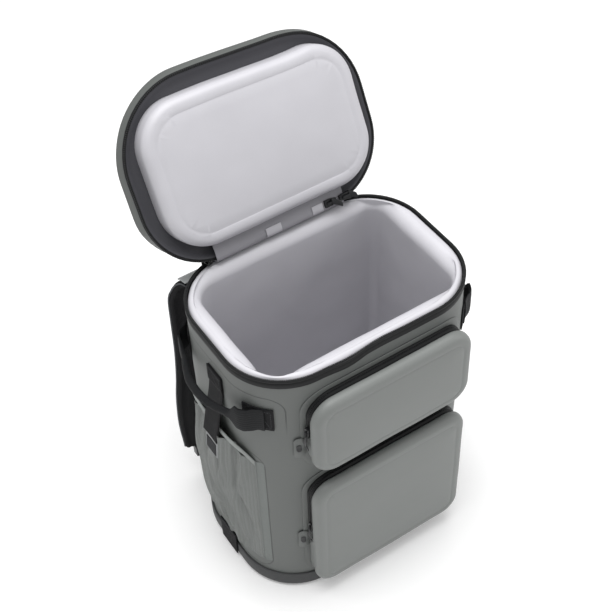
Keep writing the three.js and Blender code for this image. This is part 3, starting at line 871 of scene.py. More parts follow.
@dataclass(frozen=True)
class KnitMesh(Finish):
    """Knitted mesh with small eyes in staggered rows, on its own map."""

    pitch: float = 2.2
    opening: float = 0.55
    depth: float = 0.35

    def make(self) -> bpy.types.Material:
        """Builds the material."""
        recipe = Recipe(self.name)
        along, across, _ = recipe.split(recipe.place(on_map=True))
        turn = 2 * math.pi
        one = (along * (turn / self.pitch)).sine() * (across * (turn / self.pitch)).sine()
        eyes = abs(one).ramp(0.3, 0.8)
        ribs = (along * (turn / 5.2)).sine() * 0.5 + 0.5
        fuzz = recipe.noise(recipe.place(), 1.0, 3.0)
        height = self.depth * (1.0 - eyes) + 0.02 * ribs + 0.1 * fuzz
        share = (1.0 - eyes) * 0.7 + ribs * 0.2 + fuzz * 0.1
        plain = {"Specular_IOR_Level": 0.25}
        if self.opening > 0:
            plain["Alpha"] = 1.0 - eyes * self.opening
        return recipe.finish(self.shade(recipe, share, 0.3), self.roughness, height, **plain)


@dataclass(frozen=True)
class Moulded(Finish):
    """Moulded rubber or plastic with a fine pebbled face."""

    pebble: float = 0.9
    depth: float = 0.04

    def make(self) -> bpy.types.Material:
        """Builds the material."""
        recipe = Recipe(self.name)
        spot = recipe.place()
        grains = recipe.cells(spot, self.pebble)
        worn = recipe.noise(spot, 18.0, 3.0)
        return recipe.finish(
            self.shade(recipe, worn, 0.12),
            self.roughness + 0.18 * (worn - 0.5),
            self.depth * grains + 0.1 * worn,
        )


class Finishes:
    """Every finish of the pack."""

    shell = ShellCloth("shell_cloth", tone("646765"), 0.58)
    pocket = CoatedCloth("pocket_cloth", tone("787b79"), 0.5, soft=0.35)
    lid = CoatedCloth("lid_cloth", tone("565957"), 0.54)
    welt = CoatedCloth("welded_flange", tone("626563"), 0.55)
    liner = CoatedCloth("liner_cloth", tone("c4c3c8"), 0.45, Slot.LINER, grain=0.012, soft=0.5)
    pad = CoatedCloth("lid_pad_cloth", tone("bab9be"), 0.42, Slot.LINER, grain=0.012, soft=0.4)
    # painted shade: the hinge is the liner's cloth, darkened for the shade where it folds
    # between lid and rim
    tape = CoatedCloth("hinge_cloth", tone("8b8a8f"), 0.5, Slot.LINER, soft=0.8)
    patch = CoatedCloth("hinge_tape", tone("b2b1b6"), 0.4, Slot.LINER)
    band = ZipTape("zip_tape", tone("0f1011"), 0.6, Slot.ZIP)
    # painted shade: the lid flange's dark grey is partly the cloth's own tone and partly painted
    # shade for the gap between pad and shell
    flange = ZipTape("lid_flange_cloth", tone("47474b"), 0.5, Slot.ZIP)
    coil = Moulded("zip_teeth", tone("141516"), 0.4, Slot.ZIP)
    boot = Moulded("boot_rubber", tone("3a3b3c"), 0.6, Slot.TRIM)
    webbing = WovenWebbing("black_webbing", tone("151517"), 0.8, Slot.WEBBING)
    grip = WovenWebbing("grip_cloth", tone("18191b"), 0.75, Slot.WEBBING, rib=1.1)
    thread = Moulded("stitch_thread", tone("313235"), 0.7, Slot.WEBBING, pebble=0.5)
    net = KnitMesh("pocket_mesh", tone("858886"), 0.6, Slot.MESH, opening=0.3)
    hem = WovenWebbing("mesh_hem_cloth", tone("9a9e9c"), 0.75, Slot.MESH, rib=1.4)
    binding = WovenWebbing("mesh_binding_cloth", tone("7b7f7d"), 0.7, Slot.SHELL, rib=1.4)
    plastic = Moulded("black_plastic", tone("17181a"), 0.35, Slot.PLASTIC)
    label = WovenWebbing("plain_label", tone("232427"), 0.7, Slot.LABEL, rib=0.9)
    edging = WovenWebbing("label_edging", tone("a5a7a8"), 0.7, Slot.LABEL, rib=0.9)
    strap = KnitMesh("strap_air_mesh", tone("18181a"), 0.85, Slot.STRAP, pitch=3.4, opening=0.0)
    piping = WovenWebbing("strap_piping", tone("5a5c5f"), 0.7, Slot.STRAP, rib=1.2)
    yoke = CoatedCloth("yoke_cloth", tone("a9acac"), 0.55, Slot.YOKE)


def place_piece(
    obj: bpy.types.Object, finish: Finish, *nodes: str, angle: float = 38.0
) -> bpy.types.Object:
    """Dresses a piece and ties it to the pack.

    Args:
        obj: the piece.
        finish: its finish.
        *nodes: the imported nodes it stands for.
        angle: creases sharper than this stay sharp.

    Returns:
        The piece.
    """
    Bench.smooth(obj, angle)
    obj.data.materials.clear()
    obj.data.materials.append(finish.material())
    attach(obj, "root")
    if nodes:
        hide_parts(*nodes)
    LOG.info("%s: %d faces", obj.name, len(obj.data.polygons))
    return obj


# Outlines that pieces follow
@dataclass(frozen=True)
class RoundPath:
    """The outline of a rounded rectangle, walked counter-clockwise from its back middle."""

    half_x: float
    half_y: float
    corner: float

    def points(self, pitch: float = 4.0, turn: float = 6.0) -> list[tuple[Vector, Vector]]:
        """Points and outward directions all round.

        Args:
            pitch: distance between points on the straight sides.
            turn: degrees between points on the corners.

        Returns:
            Pairs of a point and its outward direction, both with z 0.
        """
        found: list[tuple[Vector, Vector]] = []
        start = Vector((0.0, self.half_y, 0.0))
        order = [(-1, 1, 90), (-1, -1, 180), (1, -1, 270), (1, 1, 0)]
        before = start
        for sx, sy, first in order:
            r = self.corner
            centre = Vector((sx * (self.half_x - r), sy * (self.half_y - r), 0.0))
            steps = max(int(90 / turn), 2)
            arc = []
            for k in range(steps + 1):
                a = math.radians(first + 90 * k / steps)
                way = Vector((math.cos(a), math.sin(a), 0.0))
                arc.append((centre + r * way, way))
            gap = (arc[0][0] - before).length
            count = max(int(gap / pitch), 1)
            for k in range(count):
                found.append((before.lerp(arc[0][0], k / count), arc[0][1]))
            found.extend(arc[:-1])
            before = arc[-1][0]
        count = max(int((before - start).length / pitch), 1)
        for k in range(count):
            found.append((before.lerp(start, k / count), Vector((0.0, 1.0, 0.0))))
        return found


@dataclass(frozen=True)
class Body:
    """Sizes of the body that other pieces sit on."""

    half_x: float = 165.0
    half_y: float = 114.0
    height: float = 423.0
    corner: float = 80.0
    rim: float = 437.0

    @property
    def quarter(self) -> float:
        """Length along the wall from a side's middle to where the front runs straight."""
        return self.half_y - self.corner + self.corner * math.pi / 2

    @property
    def to_front(self) -> float:
        """Length along the wall from a side's middle to the middle of the front."""
        return self.quarter + self.half_x - self.corner

    def beside(self, side: Side, along: float, out: float, z: float) -> Vector:
        """A place beside the wall.

        Args:
            side: which side of the pack.
            along: length over the wall from the side's middle, towards the back.
            out: distance out from the wall.
            z: height.

        Returns:
            The place.
        """
        flat = self.half_y - self.corner
        over = min(max(abs(along) - flat, 0.0) / self.corner, math.pi / 2)
        rest = max(abs(along) - self.quarter, 0.0)
        way = 1.0 if along > 0 else -1.0
        reach = self.corner + out
        x = self.half_x - self.corner + reach * math.cos(over) - rest
        y = way * (flat + reach * math.sin(over)) if over > 0 else along
        return Vector((side.value * x, y, z))

    def before(self, across: float, out: float, z: float) -> Vector:
        """A place before the front wall, across it by a length over the wall."""
        side = Side.RIGHT if across >= 0 else Side.LEFT
        return self.beside(side, abs(across) - self.to_front, out, z)

    def measure(self, p: Vector, middle: Vector) -> tuple[float, float]:
        """The wall's own map at a place: length from the side's middle, and height."""
        way = 1.0 if middle.x >= 0 else -1.0
        x, y = p.x * way, p.y
        flat = self.half_y - self.corner
        inner = self.half_x - self.corner
        if x <= inner:
            along = self.quarter + inner - x
        elif abs(y) <= flat:
            return y, p.z
        else:
            along = flat + self.corner * math.atan2(abs(y) - flat, x - inner)
        return math.copysign(along, y), p.z


BODY = Body()


def outline_gap(p: Vector, half_x: float, half_y: float, corner: float) -> float:
    """Distance of a place to a rounded rectangle about the origin, negative inside it."""
    dx = abs(p.x) - (half_x - corner)
    dy = abs(p.y) - (half_y - corner)
    beyond = math.hypot(max(dx, 0.0), max(dy, 0.0))
    return beyond + min(max(dx, dy), 0.0) - corner


def upright(middle: Vector, way: Vector) -> bool:
    """Whether an edge runs up and down."""
    return abs(way.z) > 0.99


def middle_of(m: Vector) -> bool:
    """Whether a place is near the upright axis."""
    return abs(m.x) < 12 and abs(m.y) < 12


def step(value: float, start: float, end: float) -> float:
    """Smooth step from 0 at start to 1 at end."""
    t = min(max((value - start) / (end - start), 0.0), 1.0)
    return t * t * (3 - 2 * t)


def hump(value: float, middle: float, width: float) -> float:
    """A soft hump of height 1."""
    return math.exp(-(((value - middle) / width) ** 2))


def between(table: Sequence[tuple[float, ...]], place: float) -> tuple[float, ...]:
    """Reads a table at a place, smoothly between its rows.

    Args:
        table: rows that start with their place, in rising order.
        place: where to read.

    Returns:
        The rest of the row there.
    """
    place = min(max(place, table[0][0]), table[-1][0])
    for k, (low, high) in enumerate(zip(table, table[1:])):
        if place <= high[0]:
            before = table[max(k - 1, 0)]
            after = table[min(k + 2, len(table) - 1)]
            t = (place - low[0]) / (high[0] - low[0])
            row = []
            for i in range(1, len(low)):
                span = high[0] - low[0]
                m0 = (high[i] - before[i]) / max(high[0] - before[0], 1e-6) * span
                m1 = (after[i] - low[i]) / max(after[0] - low[0], 1e-6) * span
                h = (2 * t**3 - 3 * t**2 + 1) * low[i] + (t**3 - 2 * t**2 + t) * m0
                row.append(h + (3 * t**2 - 2 * t**3) * high[i] + (t**3 - t**2) * m1)
            return tuple(row)
    return tuple(table[-1][1:])


def numbered(rows: Sequence[Sequence[float]]) -> list[tuple[float, ...]]:
    """A table whose rows start with their own number."""
    return [(k, *row) for k, row in enumerate(rows)]


class Track:
    """A line of points with outward directions, read by length."""

    def __init__(self, points: Sequence[tuple[Vector, Vector]]) -> None:
        """Keeps the points and the length up to each."""
        self.points = list(points)
        self.marks = [0.0]
        for (a, _), (b, _) in zip(self.points, self.points[1:]):
            self.marks.append(self.marks[-1] + (b - a).length)

    @property
    def length(self) -> float:
        """Its whole length."""
        return self.marks[-1]

    def at(self, place: float) -> tuple[Vector, Vector]:
        """The point and outward direction at a length."""
        place = min(max(place, 0.0), self.length)
        k = next((i for i, m in enumerate(self.marks) if m >= place), len(self.marks) - 1)
        k = max(k, 1)
        share = (place - self.marks[k - 1]) / max(self.marks[k] - self.marks[k - 1], 1e-6)
        (p, d), (q, e) = self.points[k - 1], self.points[k]
        return p.lerp(q, share), d.lerp(e, share).normalized()


def teeth(
    name: str, track: Track, up: Vector, out: float, lift: float, pitch: float = 2.5,
    size: tuple[float, float, float] = (1.5, 2.2, 1.6),
) -> bpy.types.Object:
    """Rows one zip tooth along a track.

    Args:
        name: the object's name.
        track: the line they follow.
        up: which way is up on it.
        out: how far outside the line they stand.
        lift: how far up they stand.
        pitch: from tooth to tooth.
        size: a tooth's length, depth and height.

    Returns:
        The row of teeth as one object.
    """
    low = [-v / 2 for v in size]
    high = [v / 2 for v in size]
    obj = Bench.cube(name, low, high)
    Bench.bevel(obj, lambda m, d: m.y < -0.1 and abs(d.y) < 0.1, size[0] * 0.24, 1)
    count = int(track.length / pitch)
    Bench.apply(
        obj, "ARRAY", count=count, use_relative_offset=False, use_constant_offset=True,
        constant_offset_displace=(pitch * MM, 0, 0),
    )

    def follow(p: Vector) -> Vector:
        """Wraps the straight row round the track."""
        point, way = track.at(p.x + pitch)
        return point + way * (out + p.y) + up * (lift + p.z)

    Bench.bend(obj, follow)
    return obj


def front_wave(p: Vector) -> float:
    """How far the zip at the front of the rim dips and rises from a straight line."""
    if p.y > 0:
        return 0.0
    return -3.4 * hump(p.x, -46, 25) + 2.4 * hump(p.x, 0, 26)


@dataclass
class Tub:
    """The body: boot, cloth, padded liner and the body's half of the main zip."""

    boot_height: float = 28.0
    boot_out: float = 3.1
    foot_round: float = 9.0
    low: float = 3.3
    liner_low: float = 8.0
    skin: float = 2.8
    side_foam: float = 25.0
    end_foam: float = 23.0
    inner_round: float = 16.0
    outer_round: float = 7.0
    cavity_corners: tuple[float, ...] = (32.0, 12.0, 24.0, 20.0)
    pinch_way: float = 232.0
    floor_top: float = 32.5
    zip_low: float = 423.4
    hinge_half: float = 97.0
    zip_profile: tuple[tuple[float, float], ...] = (
        (0.2, 0.0), (1.0, 1.0), (1.3, 4.5), (1.1, 8.0), (0.4, 9.2), (0.5, 9.8),
        (1.5, 10.6), (1.6, 12.3), (0.7, 13.2), (-0.8, 13.3), (-2.2, 12.4), (-2.4, 6.0),
        (-2.4, 0.2),
    )

    def boot(self) -> None:
        """Models the tray round the foot."""
        x, y = BODY.half_x + self.boot_out, BODY.half_y + self.boot_out
        obj = Bench.cube("boot", (-x, -y, 0), (x, y, self.boot_height))
        Bench.bevel(obj, upright, BODY.corner + self.boot_out, 20)
        Bench.bevel(obj, lambda m, d: m.z < 0.1, self.foot_round, 6)
        top = self.boot_height
        Bench.inset(obj, lambda m, n: n.z > 0.9 and m.z > top - 1, 2.6)
        Bench.extrude(obj, lambda m, n: n.z > 0.9 and middle_of(m), (0, 0, -18))
        Bench.bevel(
            obj, lambda m, d: m.z > top - 0.1 and abs(outline_gap(m, x, y, x - 85)) < 0.6,
            1.0, 2,
        )
        place_piece(obj, Finishes.boot, "base_boot")

    def shell(self) -> None:
        """Models the cloth of the body."""
        x, y = BODY.half_x, BODY.half_y
        obj = Bench.cube("body_cloth", (-x, -y, self.low), (x, y, BODY.height))
        Bench.bevel(obj, upright, BODY.corner, 24)
        Bench.bevel(obj, lambda m, d: m.z < self.low + 0.1, 6, 3)
        Bench.drop(obj, lambda m, n: n.z > 0.9 and m.z > 400)
        Bench.slice(obj, 2, [20 + 16.5 * k for k in range(25)])
        Bench.slice(obj, 0, [-80 + 20 * k for k in range(9)])
        Bench.slice(obj, 1, [-25, -12, 0, 12, 25])
        Bench.ripple(obj, 75, 1.3, 3.0)

        def settle(p: Vector) -> Vector:
            """Lets the top edge follow the zip."""
            return p + Vector((0, 0, front_wave(p) * step(p.z, 380, 423)))

        Bench.bend(obj, settle)
        Bench.chart(obj, BODY.measure)
        Bench.apply(obj, "SOLIDIFY", thickness=2.2 * MM, offset=-1.0)
        place_piece(obj, Finishes.shell, "body_shell", angle=50)

    def ring(self, half_x: float, half_y: float, corners: Sequence[float], z: float
             ) -> list[Vector]:
        """Points round a rounded rectangle, always as many, so that rings can be joined.

        Args:
            half_x: half its width.
            half_y: half its depth.
            corners: radius of the back left, front left, front right and back right corner.
            z: its height.

        Returns:
            The points, counter-clockwise from the back left corner.
        """
        found: list[Vector] = []
        order = ((-1, 1, 90), (-1, -1, 180), (1, -1, 270), (1, 1, 0))
        ends = []
        for (sx, sy, first), r in zip(order, corners):
            centre = Vector((sx * (half_x - r), sy * (half_y - r), z))
            arc = []
            for k in range(13):
                a = math.radians(first + 90 * k / 12)
                arc.append(centre + Vector((r * math.cos(a), r * math.sin(a), 0)))
            ends.append(arc)
        for k, arc in enumerate(ends):
            after = ends[(k + 1) % 4][0]
            count = 10 if k % 2 else 8
            found += arc[:-1]
            found += [arc[-1].lerp(after, i / count) for i in range(count)]
        return found

    def inside(self, p: Vector, least: float) -> Vector:
        """Keeps a place at least a length inside the liner's outer face."""
        x, y, outer = BODY.half_x - self.skin, BODY.half_y - self.skin, BODY.corner - self.skin
        over = outline_gap(p, x, y, outer) + least
        if over <= 0:
            return p
        centre = Vector((math.copysign(x - outer, p.x), math.copysign(y - outer, p.y), p.z))
        return p - (p - centre).normalized() * over

    def pinch(self, p: Vector) -> Vector:
        """Thins the rim at the front left, where the cloth is drawn into the corner."""
        x, y, outer = BODY.half_x - self.skin, BODY.half_y - self.skin, BODY.corner - self.skin
        centre = Vector((outer - x, outer - y, p.z))
        way = p - centre
        angle = math.degrees(math.atan2(way.y, way.x)) % 360
        deep = -outline_gap(p, x, y, outer)
        share = hump(angle, self.pinch_way, 17) * step(p.z, 300, 420) * step(-p.x, 60, 95)
        reach = 3.2 * step(deep, 1, 7) + 2.8 * step(deep, 7, 14)
        return p + way.normalized() * share * reach * (1 - step(deep, 22, 40))

    def liner(self) -> None:
        """Models the padded liner with its crowned rim and its cavity."""
        x, y = BODY.half_x - self.skin, BODY.half_y - self.skin
        outer = BODY.corner - self.skin
        rim = BODY.rim
        rings = [self.ring(x - 8, y - 8, [outer - 8] * 4, self.liner_low)]
        heights = (16, 60, 110, 160, 210, 260, 310, 360, 400, rim - self.outer_round)
        rings += [self.ring(x, y, [outer] * 4, z) for z in heights]
        for k in range(1, 6):
            a = math.radians(18 * k)
            inset = self.outer_round * (1 - math.cos(a))
            z = rim - self.outer_round * (1 - math.sin(a))
            rings.append(self.ring(x - inset, y - inset, [outer - inset] * 4, z))
        cx, cy = x - self.side_foam, y - self.end_foam
        for k in range(10):
            a = math.radians(10 * k)
            grow = self.inner_round * (1 - math.sin(a))
            corners = [c + grow for c in self.cavity_corners]
            z = rim - self.inner_round * (1 - math.cos(a)) + 0.6 * hump(k, 0, 2)
            ring = self.ring(cx + grow, cy + grow, corners, z)
            rings.append([self.inside(p, self.outer_round + 1.0 + 0.1 * k) for p in ring])
        base = self.floor_top + 22
        wall = rim - self.inner_round
        for k in range(1, 18):
            z = wall + (base - wall) * k / 17
            draw = 3.0 * math.sin(math.pi * k / 17)
            tight = [max(c - 8 * step(k, 0, 5), 9) for c in self.cavity_corners]
            rings.append(self.ring(cx + draw * 0.3, cy + draw * 0.3, tight, z))
        for k in range(1, 6):
            a = math.radians(18 * k)
            inset = 22 * (1 - math.cos(a))
            tight = [max(c - 8 - inset * 0.3, 6) for c in self.cavity_corners]
            rings.append(self.ring(cx - inset, cy - inset, tight, base - 22 * math.sin(a)))
        obj = Bench.skin("liner_pad", rings, ring=True, fill=True)
        Bench.refine(obj)
        Bench.ripple(obj, 42, 1.5, 11.0)

        def soften(p: Vector) -> Vector:
            """Lets the rim sink a little between its corners and swell at a fold."""
            inside = step(-outline_gap(p, x, y, outer), 6, 18) * step(p.z, 60, 150)
            sink = -1.2 * hump(p.x, -40, 45) * step(p.z, 425, 437) * (p.y < 0)
            fold = 1.1 * hump(p.x, -22, 2.6) * inside * (p.y > 0) * (p.z < 425)
            return self.pinch(p) + Vector((0, -fold, sink))

        Bench.bend(obj, soften)
        place_piece(obj, Finishes.liner, "liner", angle=60)

    def zip_track(self) -> Track:
        """The line of the body's zip, from one end of the hinge round to the other."""
        points = RoundPath(BODY.half_x, BODY.half_y, BODY.corner).points()
        half = self.hinge_half
        kept = [(p, d) for p, d in points if abs(p.x) > half + 1 or p.y < 0]
        back = Vector((0, 1, 0))
        ends = [Vector((s * half, BODY.half_y, 0)) for s in (-1, 1)]
        return Track([(ends[0], back), *kept, (ends[1], back)])

    def zip_band(self) -> None:
        """Models the body's half of the main zip and its teeth."""
        track = self.zip_track()
        rows = []
        for p, d in track.points:
            wave = front_wave(p)
            rows.append(
                [
                    p + d * (out + abs(wave) * 0.35) + Vector((0, 0, self.zip_low + z + wave))
                    for out, z in self.zip_profile
                ]
            )
        band = Bench.skin("body_zip_tape", rows, ring=True, fill=True)
        place_piece(band, Finishes.band, "body_zip_band", angle=30)
        wavy = Track([(p + Vector((0, 0, front_wave(p))), d) for p, d in track.points])
        row = teeth("body_zip_teeth", wavy, Vector((0, 0, 1)), -1.2, self.zip_low + 13.4)
        place_piece(row, Finishes.coil)

    def build(self) -> None:
        """Builds every piece of the body."""
        self.boot()
        self.shell()
        self.liner()
        self.zip_band()


@dataclass
class Lid:
    """The open lid, modelled closed with its hinge along x and then turned."""

    angle: float = 118.2
    pivot: tuple[float, float] = (99.0, 447.0)
    half_x: float = 165.0
    depth: float = 230.0
    hinge_corner: float = 84.0
    free_corner: float = 100.0
    low: float = 4.2
    high: float = 30.0
    edge_round: float = 14.0
    proud: float = 4.6
    pad_half: float = 146.3
    pad_shift: float = 3.2
    pad_near: float = 22.0
    pad_far: float = 207.0
    pad_corner: float = 57.0
    pad_proud: float = 20.0
    hinge_half: float = 94.0
    hinge_path: tuple[tuple[float, float], ...] = (
        (112.6, 424.0), (112.6, 431.0), (112.2, 435.6), (110.6, 438.9), (107.2, 441.4),
        (103.0, 443.4), (99.3, 445.0), (97.4, 446.6), (97.3, 448.9), (98.6, 452.4),
        (101.2, 457.4), (104.0, 462.6), (106.9, 468.0),
    )
    hinge_tapes: tuple[tuple[str, float, float], ...] = (
        ("hinge_tape_left", -22.0, 0.0), ("hinge_tape_right", 46.0, 62.0),
    )
    free_edge: tuple[tuple[float, float], ...] = (
        (-165, 0.0), (-47, 0.0), (16, 2.6), (76, 4.8), (120, 2.0), (165, 0.0),
    )

    def world(self, p: Vector) -> Vector:
        """Turns a place on the closed lid to where it is with the lid open."""
        share = step(-p.y / self.depth, 0.5, 1.0)
        y = p.y + between(self.free_edge, p.x)[0] * share
        a = -math.radians(self.angle)
        return Vector(
            (
                p.x,
                self.pivot[0] + y * math.cos(a) - p.z * math.sin(a),
                self.pivot[1] + y * math.sin(a) + p.z * math.cos(a),
            )
        )

    def box(self, name: str, low: Sequence[float], high: Sequence[float]) -> bpy.types.Object:
        """A cube whose upright edges are rounded, wider at the free edge."""
        obj = Bench.cube(name, low, high)
        middle = (low[1] + high[1]) / 2
        Bench.bevel(obj, lambda m, d: upright(m, d) and m.y > middle, self.hinge_corner, 18)
        Bench.bevel(
            obj,
            lambda m, d: upright(m, d) and m.y < middle and abs(m.y - low[1]) < 0.1,
            self.free_corner,
            20,
        )
        return obj

    def shell(self) -> None:
        """Models the cloth dish of the lid."""
        x, low, high = self.half_x, self.low, self.high
        obj = self.box("lid_cloth", (-x, -self.depth, low), (x, 0, high))
        Bench.bevel(obj, lambda m, d: m.z > high - 0.1, self.edge_round, 6)
        Bench.drop(obj, lambda m, n: n.z < -0.9 and m.z < low + 0.1)
        Bench.inset(obj, lambda m, n: n.z > 0.99 and m.z > high - 0.1, 8)
        centre = Vector((0, -self.depth / 2, 0))
        Bench.inset(obj, lambda m, n: n.z > 0.99 and middle_of(m - centre), 2, -0.7)
        Bench.inset(obj, lambda m, n: n.z > 0.99 and middle_of(m - centre), 2, 0.7)
        Bench.slice(obj, 0, [-120 + 24 * k for k in range(11)])
        Bench.slice(obj, 1, [-205 + 22 * k for k in range(9)])
        Bench.ripple(obj, 80, 1.6, 21.0)

        def bulge(p: Vector) -> Vector:
            """Lets the lid's wall stand out beyond the zip, away from the hinge."""
            share = hump(p.z, 15, 10) * step(-p.y, 15, 70) * step(p.z, low - 0.5, low + 3)
            middle = Vector((0, -self.depth / 2, p.z))
            gap = outline_gap(p - middle, x, self.depth / 2, self.free_corner)
            way = Vector(((p.x / x) ** 3, ((p.y - middle.y) / (self.depth / 2)) ** 3, 0))
            return p + way * self.proud * share * step(gap, -30, -4)

        Bench.bend(obj, bulge)
        Bench.apply(obj, "SOLIDIFY", thickness=2.3 * MM, offset=-1.0)
        Bench.bend(obj, self.world)
        place_piece(obj, Finishes.lid, "lid_shell", angle=50)

    def outline(self) -> Track:
        """The lid's outline in its closed place."""
        path = RoundPath(self.half_x, self.depth / 2, self.hinge_corner)
        free = RoundPath(self.half_x, self.depth / 2, self.free_corner)
        shift = Vector((0, -self.depth / 2, 0))
        near = [(p + shift, d) for p, d in path.points() if p.y >= 0]
        far = [(p + shift, d) for p, d in free.points() if p.y < 0]
        left = [q for q in near if q[0].x <= 0.01]
        right = [q for q in near if q[0].x > 0.01]
        return Track([*left, *far, *right])

    def zip_band(self) -> None:
        """Models the lid's half of the main zip, its teeth and the cloth inside it, whose dark
        grey is partly painted shade.
        """
        track = self.outline()
        tape = ((0.2, 4.0), (1.0, 3.4), (1.2, 2.2), (1.0, 0.9), (0.2, -0.1), (-1.4, -0.2),
                (-2.6, 0.8), (-2.9, 2.6), (-2.2, 4.0))
        inner = ((-2.7, 0.8), (-3.8, 1.4), (-6.0, 3.6), (-10.0, 6.8), (-16.0, 8.6),
                 (-26.0, 9.0), (-26.0, 10.5), (-12.0, 10.0), (-4.5, 7.0), (-3.0, 3.0))
        for name, profile, finish, nodes in (
            ("lid_zip_tape", tape, Finishes.band, ("lid_zip_band",)),
            # the cloth inside the zip takes the flange finish, partly painted shade for the gap
            # by the pad
            ("lid_zip_cloth", inner, Finishes.flange, ()),
        ):
            rows = [[p + d * out + Vector((0, 0, z)) for out, z in profile]
                    for p, d in track.points]
            obj = Bench.skin(name, rows, ring=True, loop=True)
            Bench.bend(obj, self.world)
            place_piece(obj, finish, *nodes, angle=35)
        cut = [q for q in track.points if abs(q[0].x) > 97 or q[0].y < -20]
        line = Track(cut)
        row = teeth("lid_zip_teeth", line, Vector((0, 0, -1)), -0.7, 0.6)
        Bench.bend(row, self.world)
        place_piece(row, Finishes.coil)

    def pad(self) -> None:
        """Models the puffed pad inside the lid."""
        x, y = self.pad_half, (self.pad_far - self.pad_near) / 2
        face = -self.pad_proud
        obj = Bench.cube("lid_pad_cushion", (-x, -y, face), (x, y, 20))
        Bench.bevel(obj, upright, self.pad_corner, 16)
        Bench.bevel(obj, lambda m, d: m.z < face + 0.1, 11, 6)

        def flat(m: Vector, n: Vector) -> bool:
            """Whether a face is the flat of the pad."""
            return n.z < -0.95 and middle_of(m) and m.z < face + 3

        Bench.inset(obj, flat, 5, 0.4)
        Bench.inset(obj, flat, 1.6, -0.5)
        Bench.inset(obj, flat, 1.6, 0.6)
        Bench.inset(obj, flat, 14, 0.2)
        Bench.slice(obj, 0, [-120 + 20 * k for k in range(13)])
        Bench.slice(obj, 1, [-75 + 15 * k for k in range(11)])

        def crown(p: Vector) -> Vector:
            """Lets the flat of the pad swell."""
            inner = step(-outline_gap(p, x, y, self.pad_corner), 18, 70)
            return p - Vector((0, 0, 1.8 * inner * (p.z < 0)))

        Bench.bend(obj, crown)
        Bench.ripple(obj, 70, 1.4, 5.0)
        shift = Vector((self.pad_shift, -(self.pad_far + self.pad_near) / 2, 0))
        Bench.bend(obj, lambda p: self.world(p + shift))
        place_piece(obj, Finishes.pad, "lid_pad", angle=60)

    def hinge(self) -> None:
        """Models the strip of cloth that joins lid and body, with its welded tapes; the strip's
        colour is darkened with painted shade.
        """
        half, path = self.hinge_half, self.hinge_path
        rows = []
        for k in range(25):
            x = -half + 2 * half * k / 24
            dip = 1.0 * math.sin(x * 0.05) + 0.8 * math.sin(x * 0.11 + 1)
            rows.append(
                [
                    Vector((x, y - dip * 0.5 * (2 < i < 9), z + dip * 0.5 * (2 < i < 8)))
                    for i, (y, z) in enumerate(path)
                ]
            )
        obj = Bench.skin("hinge_cloth_strip", rows)
        Bench.thicken(obj, 1.4)
        # the strip's darker tone is painted shade for its fold between lid and rim
        place_piece(obj, Finishes.tape, "hinge_panel", angle=60)
        length = sum(math.dist(a, b) for a, b in zip(path, path[1:]))
        length * MM
        for name, start, end in self.hinge_tapes:
            rows = [[Vector((start + (end - start) * k / 6, y - 1.5, z + 1.6))
                     for y, z in path[4:11]] for k in range(7)]
            tape = Bench.skin(name, rows)
            Bench.thicken(tape, 0.6, 0.2)
            place_piece(tape, Finishes.patch, angle=60)

    def build(self) -> None:
        """Builds every piece of the lid."""
        self.shell()
        self.zip_band()
        self.pad()
        self.hinge()


